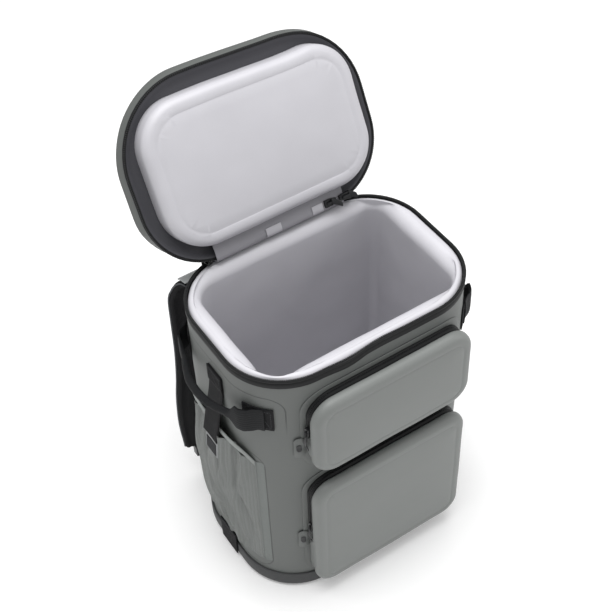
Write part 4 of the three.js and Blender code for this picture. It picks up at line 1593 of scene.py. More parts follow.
@dataclass
class Pocket:
    """A zipped pocket on the front, puffed and moulded."""

    name: str
    half_x: float
    low: float
    high: float
    zip_end: float
    zip_depth: float = 10.0
    zip_inset: float = 7.0
    corner: float = 26.0
    face_depth: float = 15.0
    shift: float = 6.5

    @property
    def middle(self) -> float:
        """Height of the pocket's middle."""
        return (self.low + self.high) / 2

    def track(self) -> Track:
        """The line of the zip and the cloth below it, in x and z."""
        half_z = (self.high - self.low) / 2 - self.zip_inset / 2
        path = RoundPath(
            self.half_x - self.zip_inset, half_z, self.corner - self.zip_inset / 2
        )
        found = [
            (Vector((p.x, 0, self.middle + p.y)), Vector((d.x, 0, d.y)))
            for p, d in path.points(pitch=6)
        ]
        return Track([*found, found[0]])

    def flange(self) -> None:
        """Models the welded frame round the pocket."""
        out = self.half_x - self.zip_inset + 11
        high = self.high + 8
        low = max(self.low - 7, 29.0)
        obj = Bench.patch(
            f"{self.name}_flange", (-out, low), (out, high), 33, 9,
            lambda p: BODY.before(p.x + self.shift, 0.35, p.z), 1.1, 0.5,
        )
        Bench.ripple(obj, 40, 0.4, self.low)
        place_piece(obj, Finishes.welt, angle=50)

    def wall(self, p: Vector) -> float:
        """The y of the front wall behind a place."""
        over = max(abs(p.x + self.shift) - (BODY.half_x - BODY.corner), 0.0)
        return -(BODY.half_y - BODY.corner) - math.sqrt(BODY.corner**2 - over**2)

    def sides(self) -> None:
        """Models the zip tape and the plain cloth below its ends."""
        track = self.track()
        edge = -BODY.half_y - self.zip_depth
        tape = [(0.0, 3.6), (0.12, 4.4), (0.3, 4.6), (0.42, 4.2), (0.47, 3.0), (0.53, 3.0),
                (0.58, 3.9), (0.7, 4.0), (0.88, 2.6), (1.0, 1.0), (1.0, -2.4), (0.0, -2.4)]
        plain = [(0.0, 3.2), (0.3, 3.6), (0.6, 3.2), (1.0, 1.0), (1.0, -2.4), (0.0, -2.4)]
        upper = [q for q in track.points if q[0].z >= self.zip_end]
        left = [q for q in upper if q[0].x < 0.01]
        right = [q for q in upper if q[0].x >= 0.01]
        lower = [q for q in track.points if q[0].z < self.zip_end + 4]
        for word, points, profile, finish in (
            ("zip", [*right, *left], tape, Finishes.band),
            ("gusset", lower, plain, Finishes.pocket),
        ):
            points = sorted(points, key=lambda q: self.turn(q[0], word))
            rows = []
            for p, d in points:
                back = self.wall(p) - 0.4
                rows.append([p + d * o + Vector((0, back + (edge - back) * t, 0))
                             for t, o in profile])
            obj = Bench.skin(f"{self.name}_{word}_cloth", rows, ring=True, fill=True)
            Bench.bend(obj, self.aside)
            place_piece(obj, finish, f"{self.name}_{word}", angle=35)
            if word == "zip":
                line = Track([(p + Vector((0, -BODY.half_y - self.zip_depth / 2, 0)), d)
                              for p, d in points])
                row = teeth(f"{self.name}_teeth", line, Vector((0, -1, 0)), 3.1, 0.0,
                            size=(1.4, 1.4, 2.4))
                Bench.bend(row, self.aside)
                place_piece(row, Finishes.coil)

    def aside(self, p: Vector) -> Vector:
        """Moves a place by the small distance that the pocket sits off the middle."""
        return p + Vector((self.shift, 0, 0))

    def turn(self, p: Vector, word: str) -> float:
        """How far round the pocket a place is, starting where a strip of it starts."""
        angle = math.atan2(p.z - self.middle, p.x)
        if word == "zip":
            return (angle + math.pi / 2) % (2 * math.pi)
        return (angle - math.pi / 2) % (2 * math.pi)

    def face(self) -> None:
        """Models the puffed face with its pressed edge."""
        x, z = self.half_x, (self.high - self.low) / 2
        back = -BODY.half_y - self.zip_depth - 0.3
        front = back - self.face_depth
        obj = Bench.cube(
            f"{self.name}_cushion", (-x, front, self.low), (x, back, self.high)
        )
        Bench.bevel(obj, lambda m, d: abs(d.y) > 0.99, self.corner, 14)
        Bench.bevel(obj, lambda m, d: m.y < front + 0.1, 9.5, 6)
        Bench.bevel(obj, lambda m, d: m.y > back - 0.1, 3.0, 3)

        def flat(m: Vector, n: Vector) -> bool:
            """Whether a face is the flat of the pocket."""
            return n.y < -0.95 and abs(m.x) < 20 and abs(m.z - self.middle) < 20 and m.y < 0

        Bench.inset(obj, flat, 4.0, 0.2)
        Bench.inset(obj, flat, 1.2, -0.55)
        Bench.inset(obj, flat, 1.2, 0.5)
        Bench.inset(obj, flat, 9, 0.7)
        Bench.slice(obj, 0, [-96 + 16 * k for k in range(13)])
        count = int(2 * z / 16)
        Bench.slice(obj, 2, [self.low + 2 * z * k / count for k in range(1, count)])
        middle = Vector((0, 0, self.middle))

        def crown(p: Vector) -> Vector:
            """Lets the flat of the face swell."""
            q = p - middle
            gap = outline_gap(Vector((q.x, q.z, 0)), x, z, self.corner)
            return p - Vector((0, 1.6 * step(-gap, 14, 60) * (p.y < front + 6), 0))

        Bench.bend(obj, crown)
        Bench.bend(obj, self.aside)
        Bench.ripple(obj, 60, 1.3, self.low + 7)
        place_piece(obj, Finishes.pocket, f"{self.name}_face", angle=60)

    def build(self) -> None:
        """Builds every piece of the pocket."""
        self.flange()
        self.sides()
        self.face()


@dataclass
class Slider:
    """A zip slider with its bridge, at one end of a zip."""

    name: str
    place: tuple[float, float, float]
    length: float = 15.0
    width: float = 8.0
    high: float = 5.0

    def body(self) -> bpy.types.Object:
        """Models the slider: two cheeks, a waist and a bridge, its top looking to -x."""
        l, w, h = self.length / 2, self.width / 2, self.high / 2
        obj = Bench.cube(self.name, (-h, -w, -l), (h, w, l))
        Bench.slice(obj, 2, [-l * 0.5, 0, l * 0.45])
        Bench.slice(obj, 1, [-w * 0.4, w * 0.4])

        def shape(p: Vector) -> Vector:
            """Narrows the lower end and hollows the cheeks."""
            share = 1 - 0.32 * step(-p.z, 0, l)
            hollow = 0.8 if abs(p.x) < h + 1 and abs(p.y) < w * 0.5 and p.x < 0 else 0.0
            return Vector((p.x + hollow, p.y * share, p.z))

        Bench.bend(obj, shape)
        Bench.apply(obj, "BEVEL", width=0.7 * MM, segments=2, limit_method="ANGLE")
        low, high = (-h - 2.0, -1.3, -l * 0.62), (-h + 0.4, 1.3, l * 0.7)
        bridge = Bench.cube(self.name + "_b", low, high)
        Bench.slice(bridge, 2, [-l * 0.3, 0, l * 0.3])
        Bench.bevel(bridge, lambda m, d: m.x < -h - 1.9 and abs(d.y) > 0.9, 1.3, 3)
        Bench.apply(bridge, "BEVEL", width=0.4 * MM, segments=1, limit_method="ANGLE")
        return Bench.join(self.name, [obj, bridge])

    def build(self, node: str) -> None:
        """Builds the slider in place.

        Args:
            node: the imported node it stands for.
        """
        obj = self.body()
        Bench.bend(obj, lambda p: p + Vector(self.place))
        place_piece(obj, Finishes.plastic, node)


@dataclass
class PocketZipEnd:
    """Slider, pull and garage at the left end of a pocket's zip."""

    pocket: Pocket
    pull_path: tuple[tuple[float, ...], ...] = (
        (0.0, 5.0, 2.3), (-1.6, 1.0, 2.6), (-3.0, -4.0, 2.9), (-3.2, -9.0, 3.0),
        (-2.0, -14.0, 3.0), (-0.2, -19.5, 2.7), (0.8, -24.0, 1.6),
    )
    garage_drop: float = 8.0
    garage_height: float = 37.0

    def build(self) -> None:
        """Builds slider, pull, garage and the garage's eye."""
        name, end = self.pocket.name, self.pocket.zip_end
        x = self.pocket.zip_inset - self.pocket.half_x + 0.8
        y = -BODY.half_y - self.pocket.zip_depth + 4.6
        Slider(f"{name}_zip_slider", (x, y, end + 7.5)).build(f"{name}_slider")
        rows = []
        for k in range(19):
            dx, dz, half = between(numbered(self.pull_path), k / 3)
            spot = Vector((x - 1.6 + dx, y, end - 0.5 + dz))
            rows.append(Bench.hoop(spot, Vector((1, 0, 0)), Vector((0, half, 0)), 10))
        pull = Bench.skin(f"{name}_zip_pull", rows, ring=True, fill=True)
        place_piece(pull, Finishes.plastic, f"{name}_pull")

        across = self.pocket.half_x - self.pocket.zip_inset + 1.5
        top = end - self.garage_drop
        middle = Vector((-across - 5, 0, top - 25))

        def hood(p: Vector) -> Vector:
            """Raises the parking pocket at the lower end of the patch."""
            gap = math.hypot((p.x - middle.x) / 6.0, (p.z - middle.z) / 9.0)
            return BODY.before(p.x, 1.7 + 2.4 * step(1.15 - gap, 0, 0.9), p.z)

        low, high = (-across - 11.5, top - self.garage_height), (-across + 2.5, top)
        obj = Bench.patch(f"{name}_zip_garage", low, high, 5.8, 3, hood, 1.0, 0.4)
        place_piece(obj, Finishes.welt, f"{name}_garage", angle=50)
        low, high = (-across - 8.6, top - 22), (-across - 2.2, top - 12)
        eye = Bench.patch(
            f"{name}_garage_eye", low, high, 3.0, 3,
            lambda p: hood(p) + Vector((-0.5, -1.1, 0)), 0.5, 0.2,
        )
        place_piece(eye, Finishes.plastic, angle=50)


@dataclass
class MainZipEnds:
    """The two main sliders, parked at the right end of the hinge, and the zip's curled ends."""

    lid: Lid
    x: float = 84.0
    curl_path: tuple[tuple[float, ...], ...] = (
        (116.0, 430.0), (116.4, 434.0), (114.5, 438.6), (109.0, 441.6), (103.5, 443.0),
        (99.6, 444.4), (97.6, 447.0), (97.2, 450.5),
    )

    def curl(self, side: Side) -> bpy.types.Object:
        """Models the tape that runs from the body's zip round to the lid's."""
        path = numbered(self.curl_path)
        rows = []
        for k in range(22):
            y, z = between(path, k / 3)
            y2, z2 = between(path, k / 3 + 0.1)
            way = Vector((0, y2 - y, z2 - z))
            if way.length < 1e-6:
                way = Vector((0, -0.1, 1))
            out = Vector((1, 0, 0)).cross(way.normalized())
            x0 = side.value * (94.2 + 6.5 * step(k, 0, 4))
            x1 = side.value * 106.0
            near, far = Vector((x0, y, z)), Vector((x1, y, z))
            rows.append([near + out, far + out, far - out, near - out])
        return Bench.skin(f"zip_curl_{side.tag}", rows, ring=True, fill=True)

    def build(self) -> None:
        """Builds sliders and curls."""
        for side in Side:
            place_piece(self.curl(side), Finishes.band, angle=40)
        parts = []
        for k, z in enumerate((-6.2, -13.0)):
            slider = Slider(f"main_slider_{k}", (0, 0, 0), 17.0, 9.5, 6.0).body()

            def lay(p: Vector, z: float = z, k: int = k) -> Vector:
                """Lays the slider along the hinge with its bridge up."""
                way = 1 if k else -1
                x = self.x + way * p.z + 1.5 + (10.5 * way - 2)
                return self.lid.world(Vector((x, -7 + p.y, z * 0.35 - 3.6 + p.x)))

            Bench.bend(slider, lay)
            parts.append(slider)
        obj = Bench.join("main_sliders", parts)
        Bench.clean(obj)
        place_piece(obj, Finishes.plastic, "main_zip_sliders")
        for k, reach in enumerate((24.0, 19.0)):
            tab = Bench.plate(f"main_pull_{k}", (-4.2, 0), (4.2, reach), 3.0, 3)
            Bench.thicken(tab, 1.8, 0.5)

            def drop(p: Vector, k: int = k) -> Vector:
                """Lets a pull lie over towards the rim."""
                lean = step(p.z, 2, 20)
                q = Vector((self.x + (15 if k else -11) + p.z * 0.55, -9 + p.z * 0.35 + p.x, 0))
                q.z = -9.8 - 1.5 * lean + p.y
                return self.lid.world(q)

            Bench.bend(tab, drop)
            Bench.clean(tab)
            place_piece(tab, Finishes.plastic)


@dataclass
class SideGear:
    """What one side carries. It is modelled on the left and copied to the right."""

    web_half: float = 16.0
    fold_half: float = 16.3
    web_shift: float = -8.5
    web_top: float = 390.0
    patch_z: float = 366.0
    patch_span: tuple[float, float] = (62.0, 102.0)
    patch_half: float = 19.0
    patch_sewn: tuple[float, float] = (82.0, 98.5)
    tab_low: tuple[float, float] = (-17.0, 5.0)
    tab_high: tuple[float, float] = (23.0, 50.0)
    net_low: float = 52.0
    net_high: float = 292.0
    net_half: float = 73.0
    net_drop: float = 26.0
    net_bulge: float = 15.0
    folds: tuple[tuple[float, ...], ...] = (
        (-0.78, 0.25, 2.6, 0.07), (-0.55, -0.3, -3.0, 0.07), (-0.4, 0.35, 3.4, 0.08),
        (-0.1, -0.25, 2.6, 0.09), (0.15, 0.3, -2.6, 0.09), (0.5, 0.2, 2.6, 0.09),
    )
    grip: tuple[tuple[float, ...], ...] = (
        (0, 21.5, 5.0, 5.8, 5.4), (20, 20.0, 4.6, 5.8, 5.4), (32, 16.2, 4.2, 5.8, 5.2),
        (42, 12.0, 4.0, 6.2, 5.0), (50, 9.4, 3.6, 7.6, 4.2), (55, 9.4, 2.0, 12.5, 3.0),
        (60, 10.2, 0.0, 18.0, 2.2), (66, 10.6, 0.0, 18.4, 1.9), (73, 8.2, 0.0, 18.4, 1.7),
        (79, 3.5, 0.0, 18.5, 1.5),
        (85, 0.9, 0.0, 18.0, 1.4), (92, 0.8, 0.0, 18.0, 1.4),
    )

    def both(self, obj: bpy.types.Object, finish: Finish, node: str, angle: float = 38.0
             ) -> list[bpy.types.Object]:
        """Finishes a left piece and its right copy.

        Args:
            obj: the left piece.
            finish: their finish.
            node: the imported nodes' name without its side, or nothing.
            angle: creases sharper than this stay sharp.

        Returns:
            Both pieces.
        """
        base = obj.name
        twin = Bench.copy(obj, f"{base}_right", mirror_x)
        Bench.clean(twin)
        obj.name = f"{base}_left"
        for side, piece in ((Side.LEFT, obj), (Side.RIGHT, twin)):
            nodes = [f"{node}_{side.tag}"] if node else []
            place_piece(piece, finish, *nodes, angle=angle)
        return [obj, twin]

    def laid(self, out: float) -> Move:
        """The move that lays a flat patch on the left wall, a length off it."""
        return lambda p: BODY.beside(Side.LEFT, p.x, out, p.z)

    def lift(self, share: float, height: float) -> float:
        """How far the mesh stands off the wall."""
        across = max(math.cos(share * math.pi / 2), 0.0) ** 0.7
        rise = math.sin(min(height * 1.5, 1.0) * math.pi / 2)
        return 0.4 + self.net_bulge * across * rise * (1 - 0.4 * step(height, 0.78, 1.0))

    def mouth(self, share: float) -> float:
        """Height of the mesh's upper edge."""
        return self.net_high - self.net_drop * abs(share) ** 5

    def net(self) -> None:
        """Models the gathered mesh pocket, its hem and its bindings."""
        rows = []
        count, tall = 88, 56
        for i in range(count + 1):
            share = 2 * i / count - 1
            row = []
            for j in range(tall + 1):
                height = j / tall
                z = self.net_low + (self.mouth(share) - self.net_low) * height
                edge = math.cos(share * math.pi / 2) ** 0.5 if abs(share) < 1 else 0.0
                pleats = math.sin(share * 15 + 2.2 * math.sin(height * 4 + share * 4))
                pleats += 0.35 * math.sin(share * 37 + 3 * height) * step(height, 0.7, 1.0)
                gather = 1.1 * pleats * (0.3 + 0.7 * step(height, 0.4, 1.0))
                gather += 1.3 * math.sin(share * 7 - height * 13 + 1.5 * math.sin(share * 5))
                fold = 0.0
                for at, lean, deep, wide in self.folds:
                    sway = 0.05 * math.sin(height * 9 + at * 20)
                    away = share - at - lean * (1 - height) - sway
                    fold += 2.1 * deep * hump(away, 0, 0.75 * wide)
                dent = -7.0 * hump(share, -0.62, 0.14) * hump(height, 0.08, 0.09)
                crease = 2.6 * hump(height - 0.62 + 0.55 * (share + 0.5), 0, 0.05)
                crease *= hump(share, -0.35, 0.3)
                out = self.lift(share, height) + edge * (gather + fold + crease + dent)
                row.append(BODY.beside(Side.LEFT, share * self.net_half, max(out, 0.5), z))
            rows.append(row)
        obj = Bench.skin("side_mesh", rows)
        Bench.apply(obj, "SOLIDIFY", thickness=0.9 * MM, offset=0.0)
        pair = self.both(obj, Finishes.net, "mesh_pocket", angle=80)

        hem = []
        for i in range(111):
            share = 2 * i / 110 - 1
            z = self.mouth(share) + 4.0
            out = self.lift(share, 1.0) + 1.0
            ruffle = 0.35 * math.sin(share * 120)
            ring = []
            for j in range(12):
                a = 2 * math.pi * j / 12
                ring.append(BODY.beside(
                    Side.LEFT, share * self.net_half,
                    out + (1.6 + ruffle * 0.4) * math.cos(a) + 0.2 * ruffle,
                    z + 4.2 * math.sin(a),
                ))
            hem.append(ring)
        self.both(Bench.skin("side_mesh_hem", hem, ring=True, fill=True), Finishes.hem,
                  "mesh_hem", angle=70)

        for word, way in (("front", -1), ("back", 1)):
            inner, outer = self.net_half + 0.2, self.net_half + 11.5
            low, high = sorted((way * inner, way * outer))
            top = self.mouth(1.0) + 8

            def pipe(p: Vector, inner: float = inner) -> Vector:
                """Raises a rolled seam along the strip's inner edge."""
                roll = 1.3 * hump(abs(p.x), inner + 1.6, 1.6)
                return BODY.beside(Side.LEFT, p.x, 0.4 + roll, p.z)

            obj = Bench.patch(
                f"side_binding_{word}", (low, self.net_low), (high, top), 3, 4, pipe, 0.9, 0.35
            )
            self.both(obj, Finishes.binding, f"mesh_binding_{word}", angle=50)

    def webbing(self) -> None:
        """Models the hanging webbing, its folded top and the label at its end."""
        mouth = self.net_high + 7.3
        reach = self.lift(0, 1.0) + 3.2
        table = [(0.0, 0.5), (0.2, 0.6), (0.38, 0.14 * reach), (0.62, 0.44 * reach),
                 (0.86, 0.84 * reach), (1.0, reach + 0.4)]
        rows = []
        for k in range(37):
            down = k / 30
            if down <= 1:
                (out,) = between(table, down)
                z = self.web_top - (self.web_top - mouth) * down
            else:
                out = reach + 0.4 + 4.4 * (down - 1) / 0.2
                z = mouth - 22 * (down - 1) / 0.2
            row = []
            for j in range(7):
                y = self.web_shift - self.web_half + 2 * self.web_half * j / 6
                curl = 0.8 * (abs(j - 3) / 3) ** 2 * step(down, 0.3, 0.8)
                row.append(BODY.beside(Side.LEFT, y, out + curl, z))
            rows.append(row)
        obj = Bench.skin("side_web", rows)
        Bench.apply(obj, "SOLIDIFY", thickness=1.7 * MM, offset=0.0)
        Bench.apply(obj, "BEVEL", width=0.4 * MM, segments=1, limit_method="ANGLE",
                    angle_limit=math.radians(60))
        for piece in self.both(obj, Finishes.webbing, "side_webbing", angle=60):
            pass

        low = (self.web_shift - self.fold_half, self.web_top - 26)
        high = (self.web_shift + self.fold_half, self.web_top + 1.2)
        fold = Bench.patch("side_web_fold", low, high, 1.5, 6, self.laid(1.7), 1.5, 0.5)
        self.both(fold, Finishes.webbing, "", angle=50)
        box = [(self.web_shift + x, self.web_top - 12.5 + z)
               for x, z in ((-13, -10), (13, -10), (13, 10), (-13, 10), (-13, -10), (13, 10))]
        self.stitch("side_web_stitches", box, 3.3)

        top = mouth - 22.2
        half = 13.5
        shift = self.web_shift - 4
        for name, low, high, out, thick, finish, node in (
            ("side_label_edge", -half, half, reach + 4.6, 1.4, Finishes.edging, "label_loop"),
            ("side_label", -half + 2.2, half - 2.2, reach + 5.9, 0.8, Finishes.label, ""),
        ):
            margin = 0.0 if node else 2.4

            def hang(p: Vector, out: float = out) -> Vector:
                """Hangs the label a little off the mesh."""
                return BODY.beside(Side.LEFT, p.x, out + 2.0 * (top - p.z) / 27, p.z)

            obj = Bench.patch(name, (shift + low, top - 27 + margin),
                              (shift + high, top - margin), 0.8, 5, hang, thick, 0.3)
            self.both(obj, finish, node, angle=50)

    def stitch(self, name: str, line: Sequence[tuple[float, float]], out: float) -> None:
        """Sews a line of stitches on the side.

        Args:
            name: the object's name.
            line: corners of the line, along the wall and up it.
            out: how far off the wall it lies.
        """
        points = [(Vector((x, 0, z)), Vector((0, 1, 0))) for x, z in line]
        track = Track(points)
        obj = Bench.cube(name, (-1.3, -0.3, -0.35), (1.3, 0.3, 0.35))
        Bench.bevel(obj, lambda m, d: m.y > 0.2 and abs(d.x) < 0.1, 0.28, 1)
        Bench.apply(obj, "ARRAY", count=int(track.length / 3.6), use_relative_offset=False,
                    use_constant_offset=True, constant_offset_displace=(3.6 * MM, 0, 0))

        def sew(p: Vector) -> Vector:
            """Lays the row along the line on the wall."""
            start, _ = track.at(p.x + 2.0)
            nearby, _ = track.at(p.x + 2.2)
            way = nearby - start
            side = Vector((-way.z, 0, way.x)).normalized() if way.length > 1e-6 else Vector()
            q = start + side * p.z
            return BODY.beside(Side.LEFT, q.x, out + p.y, q.z)

        Bench.bend(obj, sew)
        Bench.clean(obj)
        self.both(obj, Finishes.thread, "")

    def handle(self) -> None:
        """Models the grip and the patches it is sewn to."""
        rows = []
        mirrored = [(-row[0], *row[1:]) for row in reversed(self.grip[1:])]
        table = [*mirrored, *self.grip]
        for k in range(89):
            along = -91 + 182 * k / 88
            lift, sag, tall, thick = between(table, along)
            tall *= 1 + 0.02 * math.sin(along * 0.7)
            ring = []
            for j in range(16):
                a = 2 * math.pi * j / 16
                square = 1 + 0.22 * abs(math.sin(2 * a)) * step(tall, 9, 15)
                out = 2.6 + lift + thick * square * math.cos(a) * 0.95
                ring.append(BODY.beside(Side.LEFT, along, max(out, 2.5),
                                        self.patch_z - sag + tall * square * math.sin(a)))
            rows.append(ring)
        obj = Bench.skin("side_grip", rows, ring=True, fill=True)
        Bench.ripple(obj, 14, 0.3, 40.0)
        for piece in self.both(obj, Finishes.grip, "handle_grip", angle=70):
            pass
        for word, way in (("front", -1), ("back", 1)):
            low, high = sorted(way * reach for reach in self.patch_span)
            foot, top = self.patch_z - self.patch_half, self.patch_z + self.patch_half
            obj = Bench.patch(f"side_patch_{word}", (low, foot), (high, top), 1.2, 5,
                              self.laid(0.5), 1.9, 0.5)
            self.both(obj, Finishes.webbing, f"handle_patch_{word}", angle=50)
            low, high = sorted(way * reach for reach in self.patch_sewn)
            foot, top = foot + 4, top - 4
            box = [(low, foot), (high, foot), (high, top), (low, top), (low, foot), (high, top)]
            self.stitch(f"side_patch_stitches_{word}", box, 2.5)

    def tab(self) -> None:
        """Models the webbing tab at the foot."""
        low, high = self.tab_low, self.tab_high
        obj = Bench.patch("side_tab", low, high, 1.0, 6, self.laid(3.6), 1.9, 0.5)
        self.both(obj, Finishes.webbing, "base_tab", angle=50)
        left, right, top = low[0] + 4, high[0] - 4, high[1] - 4
        foot = top - 12
        box = [(left, top), (right, top), (right, foot), (left, foot), (left, top)]
        self.stitch("side_tab_stitches", box, 5.6)

    def build(self) -> None:
        """Builds both sides."""
        self.net()
        self.webbing()
        self.handle()
        self.tab()


@dataclass
class Back:
    """Back pad, yoke, shoulder straps and their lower webbing."""

    pad_half: float = 82.0
    pad_low: float = 74.0
    pad_high: float = 372.0
    pad_thick: float = 13.0
    strap_half: float = 31.0
    strap_thick: float = 13.0
    seat: float = 120.8
    arch_z: float = 358.0
    end_z: float = 64.0
    yoke_half: float = 133.0
    yoke_table: tuple[tuple[float, float], ...] = ((0.6, 7.5), (8, 10.2), (15, 13.4), (22, 18.5))
    strap_table: tuple[tuple[float, ...], ...] = (
        (67, 0.1, 20, 0, 3), (65, 1.2, 27, 0, 3), (62.5, 4.2, 32, 0, 3), (59.5, 8.5, 34.5, 0, 5),
        (56, 12, 30, 0, 9), (53, 15, 19, 0, 14), (50, 18.5, 2, 0, 18), (49, 18.5, 0, 0.13, 18),
        (46, 14, 0, 0.3, 18), (42, 13.5, 0, 0.48, 18), (37, 16.5, 0, 0.66, 18),
        (34, 19.5, 0, 0.84, 17), (35, 18.5, 0, 1, 16),
    )

    def pad(self) -> None:
        """Models the padded panel with its sewn channels."""
        start = BODY.half_y + 0.4
        end = start + self.pad_thick
        middle = (self.pad_low + self.pad_high) / 2
        half_z = (self.pad_high - self.pad_low) / 2
        obj = Bench.cube("back_cushion", (-self.pad_half, start, self.pad_low),
                         (self.pad_half, end, self.pad_high))
        Bench.bevel(obj, lambda m, d: abs(d.y) > 0.99, 45, 14)
        Bench.bevel(obj, lambda m, d: m.y > end - 0.1, 7, 5)
        Bench.slice(obj, 0, [-77 + 7 * k for k in range(23)])
        Bench.slice(obj, 2, [self.pad_low + 7 * k for k in range(1, 42)])

        def sew(p: Vector) -> Vector:
            """Presses the sewn channels into the front of the pad."""
            if p.y < start + 4:
                return p
            gap = outline_gap(Vector((p.x, p.z - middle, 0)), self.pad_half, half_z, 45)
            inside = step(-gap, 10, 20)
            line = max(hump(abs(p.x), 22, 3.2), hump(p.z, middle + 68, 3.2) * (abs(p.x) > 22),
                       hump(p.z, middle - 68, 3.2) * (abs(p.x) > 22))
            frame = hump(-gap, 15, 2.6)
            return p - Vector((0, 4.2 * line * inside + 2.2 * frame - 1.2 * inside, 0))

        Bench.bend(obj, sew)
        Bench.ripple(obj, 34, 1.4, 60.0)
        place_piece(obj, Finishes.strap, "back_pad", angle=60)

    def frames(self, side: Side) -> list[tuple[Vector, Vector, Vector]]:
        """Centre, way across and way through of the strap, row after row."""
        spots = []
        for inn, out, rise, down, turn in self.strap_table:
            z = self.arch_z + rise + (self.end_z - self.arch_z) * down
            spots.append((side.value * (BODY.half_x - inn), self.seat + out, z, turn))
        table = numbered(spots)
        count = 72
        last = len(spots) - 1
        fine = [between(table, last * k / count) for k in range(count + 1)]
        found = []
        for k, (x, y, z, turn) in enumerate(fine):
            before, after = fine[max(k - 1, 0)], fine[min(k + 1, count)]
            along = (Vector(after[:3]) - Vector(before[:3])).normalized()
            a = math.radians(turn)
            level = Vector((side.value * math.cos(a), math.sin(a), 0))
            across = (level - along * level.dot(along)).normalized()
            found.append((Vector((x, y, z)), across, along.cross(across)))
        return found

    def waist(self, k: int) -> float:
        """Share of the strap's full width at a row: it narrows to both ends."""
        return 1 - 0.16 * step(k, 56, 72) - 0.12 * step(12 - k, 0, 12)

    def strap(self, side: Side) -> None:
        """Models one padded strap, its piping and the webbing sewn along it."""
        w, t = self.strap_half, self.strap_thick / 2
        rows = []
        frames = self.frames(side)
        for k, (centre, across, through) in enumerate(frames):
            ring = []
            narrow = self.waist(k)
            for j in range(28):
                a = 2 * math.pi * j / 28
                c, s = math.cos(a), math.sin(a)
                u = math.copysign(abs(c) ** 0.45, c) * (w - 1.5) * narrow
                v = math.copysign(abs(s) ** 0.7, s) * t * 0.96
                v *= 1 - 0.35 * hump(abs(u), 20 * narrow, 2.4)
                ring.append(centre + across * u + through * v)
            rows.append(ring)
        tag = side.tag
        obj = Bench.skin(f"strap_cushion_{tag}", rows, ring=True, fill=True)
        Bench.ripple(obj, 24, 1.0, 90.0)
        place_piece(obj, Finishes.strap, f"shoulder_strap_{tag}", angle=75)
        for word, way in (("outer", 1), ("inner", -1)):
            cord = []
            for k, (centre, across, through) in enumerate(frames):
                spot = centre + across * way * (w - 0.6) * self.waist(k)
                cord.append(Bench.hoop(spot, across * 1.3, through * 1.3, 8))
            pipe = Bench.skin(f"strap_piping_{word}_{tag}", cord, ring=True, fill=True)
            place_piece(pipe, Finishes.piping, angle=60)
        face = 1 if frames[40][2].y > 0 else -1
        band = []
        for centre, across, through in frames[12:60]:
            spot = centre + through * face * (t + 0.4)
            band.append([spot + across * x + through * face * h
                         for x, h in ((-12.5, -0.5), (-12.5, 0.8), (12.5, 0.8), (12.5, -0.5))])
        strip = Bench.skin(f"strap_face_web_{tag}", band, ring=True, fill=True)
        place_piece(strip, Finishes.webbing, angle=50)

    def lower(self, side: Side) -> None:
        """Models the webbing from the strap's end to its anchor on the body."""
        end = Vector((129.0, self.seat + 18.0, 70.0))
        face_y = BODY.half_y + 0.6 + 4 + 1
        anchor = Vector((81.0, face_y, 44.0))
        start = end - Vector((0, 1.5, 4.2))
        table = [(0, 0, 0), (1, 0.06, 0.42), (2, 0.36, 0.66), (3, 0.68, 0.83),
                 (4, 0.86, 0.91), (5, 1, 1)]
        rows = []
        for k in range(31):
            across, down = between(table, k / 6)
            x = start.x + (anchor.x - start.x) * across
            y = face_y + (start.y - face_y) * max(1 - down, 0.0) ** 1.6
            rows.append(Vector((side.value * x, y, start.z + (anchor.z - start.z) * down)))
        strip = []
        for k, spot in enumerate(rows):
            along = (rows[min(k + 1, 30)] - rows[max(k - 1, 0)]).normalized()
            across = Vector((0, side.value, 0)).cross(along).normalized()
            strip.append([spot + across * (12.5 * j / 3) for j in range(-3, 4)])
        obj = Bench.skin(f"strap_lower_web_{side.tag}", strip)
        Bench.apply(obj, "SOLIDIFY", thickness=1.8 * MM, offset=0.0)
        place_piece(obj, Finishes.webbing, f"strap_webbing_{side.tag}", angle=60)

    def anchor(self, side: Side) -> None:
        """Models the folded patch that holds the lower webbing."""
        x = side.value * 81.0
        y = BODY.half_y + 0.3
        obj = Bench.cube(f"strap_root_{side.tag}", (x - 17, y, 31), (x + 17, y + 4, 57))
        Bench.slice(obj, 2, [37, 44, 51])
        Bench.slice(obj, 0, [x - 8, x, x + 8])
        Bench.bend(obj, lambda p: p + Vector((0, 0.9 * hump(p.z, 44, 6) * (p.y > y + 2), 0)))
        Bench.apply(obj, "BEVEL", width=1.0 * MM, segments=3, limit_method="ANGLE",
                    angle_limit=math.radians(50))
        place_piece(obj, Finishes.webbing, f"strap_anchor_{side.tag}")

    def buckle(self, side: Side) -> None:
        """Models the ladder buckle at the strap's end: a plate with two slots."""
        low, high = (Vector(corner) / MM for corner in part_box(f"strap_buckle_{side.tag}"))
        middle, half = (low + high) / 2, (high - low) / 2
        obj = Bench.plate(f"strap_ladder_{side.tag}", (-half.x, -half.z), (half.x, half.z), 2.0,
                          1.6)

        def slot(m: Vector, n: Vector) -> bool:
            """Whether a face lies in one of the two slots."""
            return abs(m.x) < half.x - 4 and 1.2 < abs(m.z) < half.z - 2.0

        Bench.drop(obj, slot)
        Bench.apply(obj, "SOLIDIFY", thickness=(2 * half.y - 1) * MM, offset=0.0)
        Bench.apply(obj, "BEVEL", width=0.7 * MM, segments=2, limit_method="ANGLE",
                    angle_limit=math.radians(60))
        Bench.bend(obj, lambda p: p + middle)
        Bench.clean(obj)
        place_piece(obj, Finishes.plastic, f"strap_buckle_{side.tag}")

